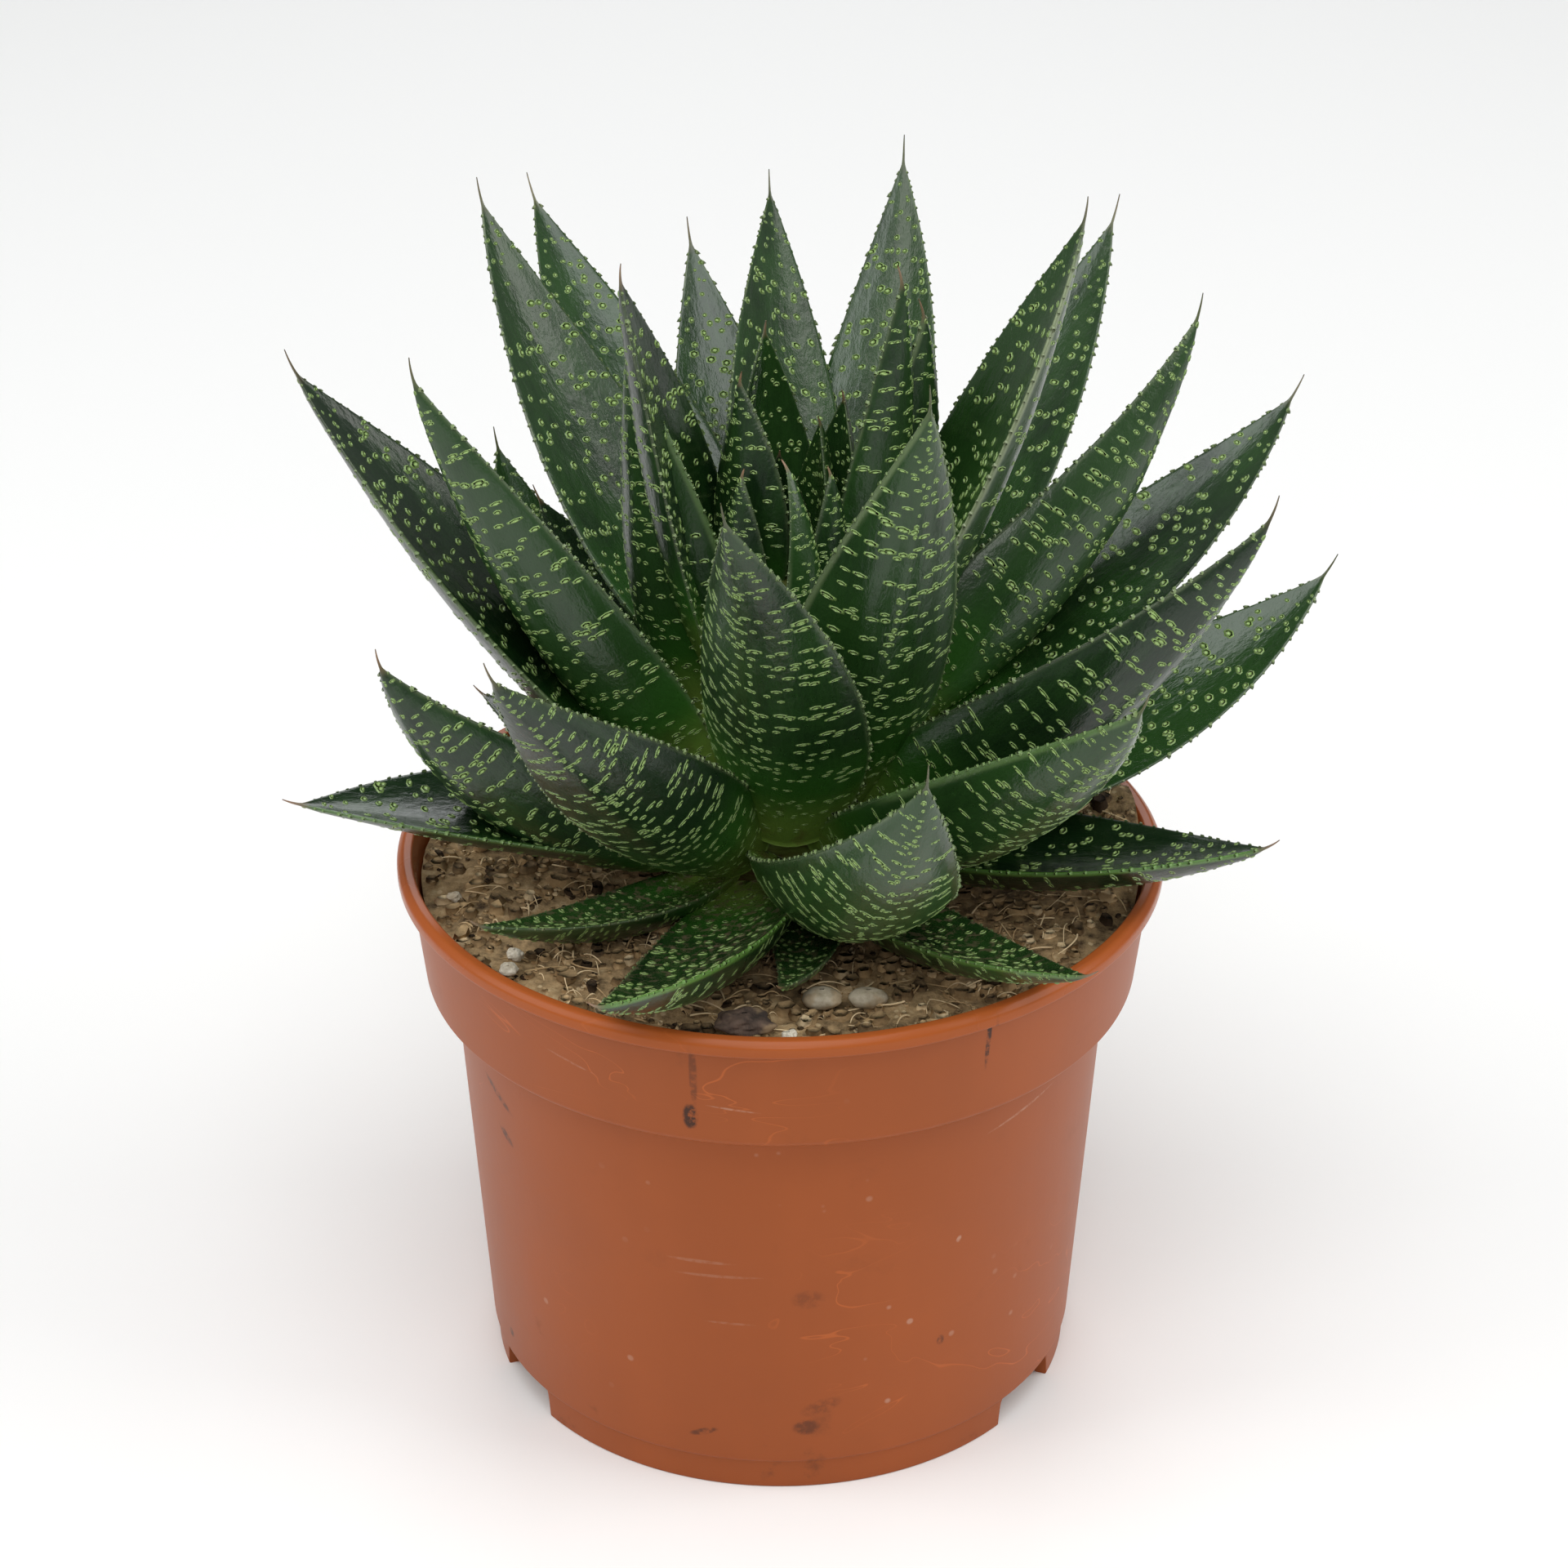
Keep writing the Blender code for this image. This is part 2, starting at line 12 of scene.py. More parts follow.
import bpy
import numpy as np
from mathutils import Euler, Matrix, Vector


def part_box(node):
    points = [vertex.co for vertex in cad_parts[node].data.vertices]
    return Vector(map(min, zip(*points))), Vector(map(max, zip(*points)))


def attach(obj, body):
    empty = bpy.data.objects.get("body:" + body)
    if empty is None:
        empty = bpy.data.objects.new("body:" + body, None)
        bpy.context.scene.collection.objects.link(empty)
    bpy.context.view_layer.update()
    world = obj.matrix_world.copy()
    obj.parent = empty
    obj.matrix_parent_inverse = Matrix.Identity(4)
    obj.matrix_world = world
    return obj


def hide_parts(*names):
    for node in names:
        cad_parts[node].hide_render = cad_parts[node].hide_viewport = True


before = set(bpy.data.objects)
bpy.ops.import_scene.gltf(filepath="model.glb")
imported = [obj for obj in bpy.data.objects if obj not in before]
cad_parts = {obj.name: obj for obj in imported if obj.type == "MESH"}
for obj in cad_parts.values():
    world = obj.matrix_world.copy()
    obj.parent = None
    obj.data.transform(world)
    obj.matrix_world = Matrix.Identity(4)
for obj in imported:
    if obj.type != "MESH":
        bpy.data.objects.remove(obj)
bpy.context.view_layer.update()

bl_info = {
    "name": "Potted gasteria",
    "version": (1, 0, 0),
    "blender": (4, 5, 0),
    "location": "3D View > Sidebar > Gasteria",
    "description": "Builds a spotted gasteria in a terracotta-coloured nursery pot",
    "category": "Add Mesh",
}

BODY = "root"
MM = 0.001

# Large odd factors that scramble a cell's number, so that noise repeats from run to run.
CELL_PRIMES = (73856093, 19349663, 83492791)
SEED_FACTOR = 2654435
MIX_FACTOR = 1274126177

# Pot, in millimetres.
RIM_RADIUS = 60.0
RIM_HEIGHT = 90.5
LIP_DEPTH = 2.6
LIP_OVERHANG = 1.9
COLLAR_RADIUS = 56.2
COLLAR_HEIGHT = 70.0
BODY_RADIUS = 51.8
FOOT_RADIUS = 46.9
FOOT_HEIGHT = 5.2
FOOT_STEP = 0.4
FOOT_WALL = 2.0
WALL = 1.2
FLOOR = 1.4
PAD_RADIUS = 31.0
PAD_SLOPE = 1.8
AXIS_RADIUS = 0.4
FLOOR_UNDERSIDE = FOOT_HEIGHT + 0.4
NECK_INSIDE = RIM_RADIUS - LIP_OVERHANG - WALL
POT_COLUMNS = 288
CORNER_RADIUS = 0.35
NOTCH_COUNT = 3
NOTCH_WIDTH = 15.5
NOTCH_TURN = 58.0
NOTCH_CORNER = 1.2
HOLE_COUNT = 8
HOLE_RADIUS = 3.5
HOLE_CIRCLE = 38.8

# Margins with an unbroken line: leaf, side (0 is both), shares of its length, pale, green.
MARGIN_WIDTH = 0.8
LINED_MARGINS = {
    "leaf_upper_5": (-1, 0.08, 0.93, 1.0, 0.0),
    "leaf_middle_4": (-1, 0.10, 0.75, 0.8, 0.0),
    "leaf_upper_4": (0, 0.20, 0.97, 0.5, 0.1),
    "leaf_inner_4": (0, 0.20, 0.97, 0.5, 0.1),
    "leaf_upper_3": (0, 0.20, 0.97, 0.3, 0.3),
    "leaf_outer_6": (0, 0.30, 0.97, 0.3, 0.4),
    "leaf_middle_3": (1, 0.10, 0.80, 0.5, 0.2),
    "leaf_ground_2": (1, 0.05, 0.97, 0.0, 1.0),
    "leaf_ground_4": (-1, 0.10, 0.97, 0.0, 0.7),
    "leaf_low_4": (-1, 0.10, 0.97, 0.0, 0.9),
    "leaf_low_3": (1, 0.20, 0.97, 0.1, 0.5),
}

# Marks on the pot: (azimuth, height, half width, half height, lean, strength).
# A strength above 0 is dark and one below 0 is pale.
POT_MARKS = (
    (-13.5, 75.0, 1.1, 2.4, 0.10, 1.00),
    (-12.8, 83.0, 0.6, 6.5, 0.00, 0.40),
    (32.0, 84.5, 0.42, 5.5, -0.15, 0.95),
    (-58.5, 60.5, 4.0, 0.8, -0.45, 0.55),
    (-57.0, 53.5, 2.0, 0.9, -0.55, 0.60),
    (-65.0, 10.5, 0.8, 0.9, 0.00, 0.80),
    (-14.5, 10.6, 2.4, 0.7, 0.35, 0.55),
    (4.8, 12.5, 2.2, 1.6, 0.00, 0.50),
    (7.5, 16.5, 3.2, 1.5, 0.30, 0.30),
    (4.9, 38.0, 2.6, 1.8, 0.00, 0.25),
    (30.5, 25.0, 0.7, 1.0, 0.00, 0.60),
    (46.0, 63.5, 7.5, 0.25, 0.16, -0.55),
    (-7.0, 77.0, 3.6, 0.20, -0.12, -0.45),
    (-33.0, 80.0, 4.0, 0.22, -0.22, -0.30),
    (-14.0, 44.5, 5.5, 0.35, 0.02, -0.22),
    (-11.0, 42.0, 7.0, 0.30, 0.04, -0.20),
    (-9.0, 33.0, 4.0, 0.25, 0.00, -0.20),
    (33.0, 44.0, 0.5, 0.6, 0.40, -0.70),
)

# Soil, in millimetres.
SOIL_LEVEL = 86.4
SOIL_COLUMNS = 360
SOIL_STEP = 0.55
HEAP_AZIMUTH = 99.0
HEAP_REACH = 53.0
HEAP_HEIGHT = 8.0
HEAP_SPREAD = 12.0
STEM_HOLE_DEPTH = 10.0
CRUMB_SHAPE = ((0.7, 1.4), (0.6, 1.1), (0.5, 0.8))
GAP = 0.3

# Stem that carries the leaves: (radius, height) down its side, in millimetres.
STEM_PROFILE = (
    (2.0, 137.0),
    (4.0, 133.0),
    (6.3, 127.0),
    (8.8, 118.0),
    (11.0, 108.0),
    (12.5, 98.0),
    (12.5, 77.0),
)
STEM_COLUMNS = 96

# Leaf shape, the same for every leaf, as shares of its own length and width.
WIDEST_AT = 0.30
ROOT_WIDTH = 0.62
TAPER = 0.92
THICKNESS = 0.22
CHANNEL = 0.10
HOOK_FROM = 0.86
HOOK_ANGLE = 22.0
AWN_SHARE = 0.045
AWN_WIDTH = 0.75
AWN_END = 0.16
MARGIN_ROUND = 0.35
KEEL_AT_ROOT = 2.1
KEEL_AT_TIP = 1.25
MIDRIB_STEPS = 241
STATION_PITCH = 1.6
SECTION_POINTS = 32
SPOT_SIDES = 6
TOOTH_SIDES = 5
FULL_WIDTH = 22.0
LARGE_LEAF = 75.0
MARK_SHIFT = 131.0

# Colours that only a part of a leaf or of the pot takes.
BLUSH = (0.130, 0.062, 0.026)
# Painted glow: saturated green where light shines through a leaf near its root.
PAINTED_GLOW_GREEN = (0.026, 0.105, 0.012)
LINE_GREEN = (0.110, 0.260, 0.040)
LEAF_DUST = (0.150, 0.095, 0.060)
POT_DIRT = (0.050, 0.026, 0.014)
POT_SMUDGE = (0.060, 0.022, 0.012)
POT_LIME = (0.62, 0.42, 0.32)


class Leaf(NamedTuple):
    """One leaf, in degrees and millimetres."""

    name: str
    azimuth: float
    sweep: float
    root_rise: float
    tip_rise: float
    root_height: float
    length: float
    width: float
    roll: float


LEAVES = (
    Leaf("leaf_ground_1", -44, -12, -5, 26, 90.0, 50, 15, 12),
    Leaf("leaf_ground_2", -11, -22, 1, 24, 90.5, 69, 21, 20),
    Leaf("leaf_ground_3", 12, -34, -7, 22, 90.0, 42, 11, 8),
    Leaf("leaf_ground_4", 33, 9, -1, 23, 90.0, 65, 17, -10),
    Leaf("leaf_low_1", -170, 0, 3, 19, 94.0, 63, 22, 4),
    Leaf("leaf_low_2", -125, 0, 1, 14, 92.5, 49, 20, -1),
    Leaf("leaf_low_3", -78, 6, 15, 10, 93.0, 66, 23, -8),
    Leaf("leaf_low_4", 75, -18, -6, 26, 94.5, 70, 24, -3),
    Leaf("leaf_low_5", 132, 0, 5, 18, 94.5, 58, 21, 0),
    Leaf("leaf_low_6", 165, 0, 9, 22, 98.0, 64, 22, -4),
    Leaf("leaf_outer_1", -143, 0, 18, 32, 100.5, 61, 20, 1),
    Leaf("leaf_outer_2", -133, -26, 10, 44, 98.0, 77, 22, 6),
    Leaf("leaf_outer_3", -66, -6, 15, 64, 93.0, 69, 26, 45),
    Leaf("leaf_outer_4", -26, -15, 35, 50, 95.0, 87, 22, 45),
    Leaf("leaf_outer_5", 14, 7, 8, 69, 93.0, 80, 28, -21),
    Leaf("leaf_outer_6", 46, -7, 26, 51, 94.0, 80, 28, -27),
    Leaf("leaf_outer_7", 92, 30, 5, 36, 98.5, 86, 26, 20),
    Leaf("leaf_outer_8", 174, -1, 13, 30, 101.5, 69, 21, 2),
    Leaf("leaf_middle_1", -175, 12, 18, 48, 106.0, 98, 24, -4),
    Leaf("leaf_middle_2", -157, 5, 27, 38, 109.5, 106, 26, -1),
    Leaf("leaf_middle_3", -92, -8, 46, 51, 100.0, 93, 27, -11),
    Leaf("leaf_middle_4", -78, -4, 53, 66, 103.5, 84, 26, 34),
    Leaf("leaf_middle_5", 1, -24, 66, 52, 101.0, 84, 27, -17),
    Leaf("leaf_middle_6", 60, 33, 28, 58, 99.5, 89, 26, -48),
    Leaf("leaf_middle_7", 106, 26, 24, 35, 103.5, 95, 26, 10),
    Leaf("leaf_middle_8", 141, 9, 23, 45, 108.5, 105, 25, 0),
    Leaf("leaf_middle_9", 144, 1, 20, 37, 103.0, 69, 21, 9),
    Leaf("leaf_upper_1", -180, 3, 30, 40, 119.5, 89, 25, 38),
    Leaf("leaf_upper_2", -141, -1, 29, 57, 113.5, 94, 25, 6),
    Leaf("leaf_upper_3", -97, -28, 76, 82, 113.0, 63, 23, 62),
    Leaf("leaf_upper_4", 29, 11, 63, 78, 104.5, 82, 26, -21),
    Leaf("leaf_upper_5", 97, 19, 62, 66, 116.0, 85, 25, -2),
    Leaf("leaf_upper_6", 101, 35, 30, 58, 110.0, 87, 26, -69),
    Leaf("leaf_upper_7", 159, 18, 28, 50, 113.0, 100, 25, -20),
    Leaf("leaf_inner_1", -172, 11, 73, 92, 125.0, 48, 17, 21),
    Leaf("leaf_inner_2", -90, 4, 78, 75, 123.5, 65, 22, -18),
    Leaf("leaf_inner_3", 107, -4, 74, 88, 122.5, 63, 20, -40),
    Leaf("leaf_inner_4", 117, -9, 63, 91, 118.5, 61, 22, -52),
    Leaf("leaf_inner_5", 141, 21, 25, 50, 111.0, 53, 15, -33),
    Leaf("leaf_heart_1", -119, 3, 94, 84, 130.5, 38, 17, 68),
    Leaf("leaf_heart_2", 23, 28, 77, 114, 124.0, 35, 11, 33),
    Leaf("leaf_heart_3", 137, -7, 70, 89, 127.5, 36, 15, -7),
    Leaf("leaf_heart_4", 141, -13, 74, 93, 131.0, 29, 13, -20),
    Leaf("leaf_heart_5", -55, 10, 76, 100, 131.0, 25, 11, 0),
    Leaf("leaf_heart_6", 62, -6, 74, 98, 129.5, 27, 11, 0),
    Leaf("leaf_heart_7", -178, 8, 78, 100, 133.0, 22, 10, 0),
)

GRAINS = {
    "pebble_front_left": "pebble",
    "pebble_front_right": "pebble",
    "bark_chip": "bark",
    "perlite_left_upper": "perlite",
    "perlite_left_lower": "perlite",
    "perlite_left_back": "perlite",
    "perlite_front": "perlite",
}


def cell_values(cell, seed):
    """A repeatable number from -1 to 1 for each whole-number cell."""
    mixed = cell[..., 0] * CELL_PRIMES[0] ^ cell[..., 1] * CELL_PRIMES[1]
    mixed = mixed ^ cell[..., 2] * CELL_PRIMES[2] ^ seed * SEED_FACTOR
    mixed = (mixed ^ (mixed >> 13)) * MIX_FACTOR
    mixed = mixed ^ (mixed >> 16)
    return (mixed & 0xFFFF) / 0x7FFF - 1.0


def rough(points, scale, seed=0, octaves=1):
    """Value noise: corner values blended by 3t^2 - 2t^3, with half the strength at each finer octave."""
    total = np.zeros(points.shape[:-1])
    for octave in range(octaves):
        at = points * (2.0**octave / scale)
        cell = np.floor(at).astype(np.int64)
        part = at - cell
        part = part * part * (3.0 - 2.0 * part)
        for corner in itertools.product((0, 1), repeat=3):
            weight = np.prod(np.where(corner, part, 1.0 - part), axis=-1)
            total += 0.5**octave * weight * cell_values(cell + np.array(corner), seed + octave)
    return total


def on_circle(azimuth, reach, height):
    """Points at an azimuth in degrees, a reach from the axis and a height, all in millimetres."""
    angle = np.radians(azimuth)
    x, y = reach * np.sin(angle), -reach * np.cos(angle)
    return np.stack(np.broadcast_arrays(x, y, height), axis=-1)


def grid_faces(rows, columns):
    """Four-cornered faces between the rows of a grid whose columns close round."""
    row, column = np.meshgrid(np.arange(rows - 1), np.arange(columns), indexing="ij")
    after = (column + 1) % columns
    near, far = row * columns, (row + 1) * columns
    corners = [near + column, near + after, far + after, far + column]
    return np.stack(corners, axis=-1).reshape(-1, 4)


def fan_faces(pole, ring, turned):
    """Triangles from a pole to a closed ring of points."""
    after = np.roll(ring, -1)
    corners = (ring, after) if turned else (after, ring)
    return np.stack([np.full(len(ring), pole), *corners], axis=-1)


def closed_grid(rows):
    """A grid of closed rings, (rows, columns, 3), its first and last ring drawn in to a pole each."""
    count, columns = rows.shape[:2]
    poles = np.stack([rows[0].mean(axis=0), rows[-1].mean(axis=0)])
    points = np.vstack([rows.reshape(-1, 3), poles])
    last = (count - 1) * columns + np.arange(columns)
    faces = [
        grid_faces(count, columns),
        fan_faces(count * columns, np.arange(columns), True),
        fan_faces(count * columns + 1, last, False),
    ]
    return points, faces


def facing_out(points, faces):
    """The same faces, all turned over where the volume they enclose comes out negative."""
    volume = 0.0
    for group in faces:
        for step in range(1, group.shape[1] - 1):
            first, second, third = (points[group[:, index]] for index in (0, step, step + 1))
            volume += np.einsum("ij,ij->", first, np.cross(second, third))
    return faces if volume > 0.0 else [group[:, ::-1] for group in faces]


class Gathering:
    """Gathers closed surfaces, with their marks, into one mesh."""

    def __init__(self):
        self.points = []
        self.faces = []
        self.marks = {}
        self.count = 0

    def add(self, points, faces, **marks):
        self.faces += [group + self.count for group in facing_out(points, faces)]
        self.points.append(points)
        for name, values in marks.items():
            self.marks.setdefault(name, []).append(np.asarray(values, float).reshape(-1, 3))
        self.count += len(points)

    def add_copies(self, points, faces, **marks):
        """Copies of one small shape: points are (copies, corners of the shape, 3)."""
        copies, each = points.shape[:2]
        if copies == 0:
            return
        starts = (np.arange(copies) * each)[:, None, None]
        spread = [(starts + group[None]).reshape(-1, group.shape[1]) for group in faces]
        self.add(points.reshape(-1, 3), spread, **marks)

    def piece(self, name, surface, slot, *nodes):
        """The finished object: smooth, riding on the body, standing for the nodes it replaces."""
        points = np.vstack(self.points) * MM
        corners = np.concatenate([group.ravel() for group in self.faces])
        sizes = np.concatenate([np.full(len(group), group.shape[1]) for group in self.faces])
        mesh = bpy.data.meshes.new(name)
        mesh.vertices.add(len(points))
        mesh.vertices.foreach_set("co", points.ravel())
        mesh.loops.add(len(corners))
        mesh.loops.foreach_set("vertex_index", corners)
        mesh.polygons.add(len(sizes))
        mesh.polygons.foreach_set("loop_start", np.concatenate([[0], np.cumsum(sizes)[:-1]]))
        mesh.update(calc_edges=True)
        mesh.validate()
        for mark, values in self.marks.items():
            layer = mesh.attributes.new(mark, "FLOAT_VECTOR", "POINT")
            layer.data.foreach_set("vector", np.vstack(values).ravel())
        mesh.shade_smooth()
        mesh.materials.append(surface)
        made = bpy.data.objects.new(name, mesh)
        bpy.context.scene.collection.objects.link(made)
        adopt(made, slot, *nodes)
        return made


def adopt(piece, slot, *nodes):
    """Puts a finished piece on the body and hides the nodes it stands for; its finish slot is not used.
    """
    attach(piece, BODY)
    if nodes:
        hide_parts(*nodes)


class Number:
    """A shader value that Python's operators turn into Math nodes."""

    def __init__(self, graph, socket):
        self.graph = graph
        self.socket = socket

    def apply(self, operation, *values):
        node = self.graph.node("ShaderNodeMath", dict(enumerate(values)), operation=operation)
        return Number(self.graph, node.outputs[0])

    def __add__(self, other):
        return self.apply("ADD", self, other)

    def __sub__(self, other):
        return self.apply("SUBTRACT", self, other)

    def __rsub__(self, other):
        return self.apply("SUBTRACT", other, self)

    def __mul__(self, other):
        return self.apply("MULTIPLY", self, other)

    def __truediv__(self, other):
        return self.apply("DIVIDE", self, other)

    def __pow__(self, other):
        return self.apply("POWER", self, other)

    def __gt__(self, other):
        return self.apply("GREATER_THAN", self, other)

    __radd__ = __add__
    __rmul__ = __mul__

    def size(self):
        return self.apply("ABSOLUTE", self)

    def between(self, low, high):
        """0 below low and 1 above high, with an easy step between them, also for low above high."""
        node = self.graph.node(
            "ShaderNodeMapRange",
            {"Value": self, "From Min": low, "From Max": high},
            interpolation_type="SMOOTHSTEP",
        )
        return Number(self.graph, node.outputs[0])


class Graph:
    """One material: its Principled shader, and a method that adds any other node."""

    def __init__(self, name, constants):
        self.material = bpy.data.materials.new(name)
        self.material.use_nodes = True
        self.tree = self.material.node_tree
        self.shader = self.tree.nodes["Principled BSDF"]
        for socket, value in constants.items():
            self.shader.inputs[socket].default_value = value

    def node(self, kind, values=None, stops=None, **settings):
        """A node: its settings and a ramp's stops first, then the values or links of its sockets."""
        made = self.tree.nodes.new(kind)
        for name, value in settings.items():
            setattr(made, name, value)
        if stops:
            ramp = made.color_ramp
            while len(ramp.elements) < len(stops):
                ramp.elements.new(1.0)
            for element, (place, colour) in zip(ramp.elements, stops):
                element.position = place
                element.color = (*colour, 1.0)
        for key, value in (values or {}).items():
            self.feed(made.inputs[key], value)
        return made

    def feed(self, socket, value):
        value = value.socket if isinstance(value, Number) else value
        if isinstance(value, bpy.types.NodeSocket):
            self.tree.links.new(value, socket)
        elif socket.type == "RGBA" and len(value) == 3:
            socket.default_value = (*value, 1.0)
        else:
            socket.default_value = value

    def set(self, socket, value):
        self.feed(self.shader.inputs[socket], value)

    def place(self):
        return self.node("ShaderNodeTexCoord").outputs["Object"]

    def mark(self, name):
        """A mesh attribute's vector, and its three numbers."""
        vector = self.node("ShaderNodeAttribute", attribute_name=name).outputs["Vector"]
        parts = self.node("ShaderNodeSeparateXYZ", {0: vector})
        return vector, [Number(self, output) for output in parts.outputs]

    def stretch(self, vector, scale):
        """The vector with each of its parts multiplied."""
        made = self.node("ShaderNodeVectorMath", {0: vector, 1: scale}, operation="MULTIPLY")
        return made.outputs[0]

    def clouds(self, vector, scale, detail=2.0, roughness=0.5, distortion=0.0):
        values = {
            "Vector": vector,
            "Scale": scale,
            "Detail": detail,
            "Roughness": roughness,
            "Distortion": distortion,
        }
        return Number(self, self.node("ShaderNodeTexNoise", values).outputs[0])

    def specks(self, vector, scale):
        """Distance to the nearest of scattered points, and a random number for that point."""
        found = self.node("ShaderNodeTexVoronoi", {"Vector": vector, "Scale": scale})
        chance = self.node("ShaderNodeSeparateColor", {0: found.outputs["Color"]}).outputs[0]
        return Number(self, found.outputs["Distance"]), Number(self, chance)

    def ramp(self, factor, *stops):
        return self.node("ShaderNodeValToRGB", {0: factor}, stops=stops).outputs[0]

    def mix(self, factor, first, second):
        """Two colours mixed by a factor, by their socket numbers on the Mix node."""
        values = {0: factor, 6: first, 7: second}
        return self.node("ShaderNodeMix", values, data_type="RGBA", clamp_factor=True).outputs[2]

    def bump(self, height, strength, distance, below=None):
        values = {"Height": height, "Strength": strength, "Distance": distance}
        if below is not None:
            values["Normal"] = below
        return self.node("ShaderNodeBump", values).outputs[0]


def colour_setting(name, description, default):
    return bpy.props.FloatVectorProperty(
        name=name, description=description, default=default,
        subtype="COLOR", size=3, min=0.0, max=1.0,
    )


def share_setting(name, description, default):
    return bpy.props.FloatProperty(
        name=name, description=description, default=default, subtype="FACTOR", min=0.0, max=1.0
    )


class LeafSettings(bpy.types.PropertyGroup):
    """Colours, gloss and markings of the leaves."""

    deep: colour_setting("Deep green", "Leaf colour in its dark patches", (0.005, 0.019, 0.005))
    fresh: colour_setting(
        "Fresh green", "Leaf colour in its lighter patches", (0.016, 0.052, 0.010)
    )
    base: colour_setting("Base green", "Colour where a leaf leaves the stem", (0.170, 0.270, 0.045))
    spot: colour_setting("Spot green", "Colour of the raised spots", (0.310, 0.470, 0.145))
    margin: colour_setting(
        "Margin", "Colour of the horny line along the margins", (0.200, 0.250, 0.130)
    )
    awn: colour_setting("Awn", "Colour of the dry point at the tip", (0.300, 0.170, 0.100))
    gloss: share_setting("Roughness", "Roughness of the leaf skin", 0.21)
    row_pitch: bpy.props.FloatProperty(
        name="Row pitch", description="Widest distance between rows of spots, in millimetres",
        min=1.0, max=10.0, default=2.3,
    )
    spot_pitch: bpy.props.FloatProperty(
        name="Spot pitch", description="Distance between spots in a row, in millimetres",
        min=0.8, max=8.0, default=2.0,
    )
    tooth_pitch: bpy.props.FloatProperty(
        name="Tooth pitch", description="Mean distance between teeth on a margin, in millimetres",
        min=0.8, max=8.0, default=1.9,
    )


class PotSettings(bpy.types.PropertyGroup):
    """Colour and finish of the pot."""

    colour: colour_setting("Terracotta", "Colour of the plastic", (0.350, 0.084, 0.019))
    gloss: share_setting("Roughness", "Roughness of the plastic", 0.42)
    wear: share_setting("Wear", "How strongly scuffs, dirt and lime show", 0.7)


class SoilSettings(bpy.types.PropertyGroup):
    """Colours of the soil and how much lies loose on it."""

    dark: colour_setting("Dark peat", "Colour of the damp hollows", (0.045, 0.027, 0.014))
    brown: colour_setting("Brown peat", "Colour of most crumbs", (0.420, 0.285, 0.145))
    straw: colour_setting(
        "Straw", "Colour of the dry fibres and light crumbs", (0.720, 0.560, 0.340)
    )
    crumbs: bpy.props.IntProperty(
        name="Crumbs", description="Number of loose crumbs", min=0, max=5000, default=2300
    )
    fibres: bpy.props.IntProperty(
        name="Fibres", description="Number of loose fibres", min=0, max=2000, default=620
    )
    seed: bpy.props.IntProperty(
        name="Seed", description="Start of the random draw for what lies loose", default=7
    )


class StageSettings(bpy.types.PropertyGroup):
    """Camera, lights and floor."""

    camera_distance: bpy.props.FloatProperty(
        name="Camera distance", description="From the point it circles to the camera",
        subtype="DISTANCE", min=0.1, default=0.650,
    )
    camera_height: bpy.props.FloatProperty(
        name="Height looked over", description="Height of the point the camera circles",
        subtype="DISTANCE", default=0.060,
    )
    camera_rise: bpy.props.FloatProperty(
        name="Camera rise", description="Angle of the camera above that point",
        subtype="ANGLE", default=math.radians(31.77),
    )
    camera_pitch: bpy.props.FloatProperty(
        name="Camera pitch", description="Angle that the camera looks down by",
        subtype="ANGLE", default=math.radians(28.64),
    )
    camera_yaw: bpy.props.FloatProperty(
        name="Camera yaw", description="Angle that the camera looks to the right by",
        subtype="ANGLE", default=math.radians(0.06),
    )
    lens: bpy.props.FloatProperty(
        name="Lens", description="Focal length in millimetres", min=10.0, default=92.86
    )
    sky: bpy.props.FloatProperty(
        name="Surrounding light", description="Strength of the even studio light",
        min=0.0, default=0.24,
    )
    key: bpy.props.FloatProperty(
        name="Soft boxes", description="Factor on the power of the soft boxes",
        min=0.0, default=1.14,
    )
    floor: colour_setting("Floor", "Colour of the floor", (0.92, 0.92, 0.92))


def round_corners(points, radius, steps):
    """Each corner P turns into (1-t)^2 S + 2t(1-t) P + t^2 E, with S and E a radius away from it."""
    points = np.asarray(points, float)

    def toward(other):
        way = other - points[1:-1]
        return points[1:-1] + np.minimum(radius / np.linalg.norm(way, axis=1), 0.45)[:, None] * way

    start, end = toward(points[:-2])[:, None], toward(points[2:])[:, None]
    t = np.linspace(0.0, 1.0, steps)[None, :, None]
    curve = (1.0 - t) ** 2 * start + 2.0 * t * (1.0 - t) * points[1:-1][:, None] + t**2 * end
    return np.vstack([points[:1], curve.reshape(-1, 2), points[-1:]])


def body_radius(height):
    """Outer radius of the pot's tapered body at a height."""
    return FOOT_RADIUS + (BODY_RADIUS - FOOT_RADIUS) * height / COLLAR_HEIGHT


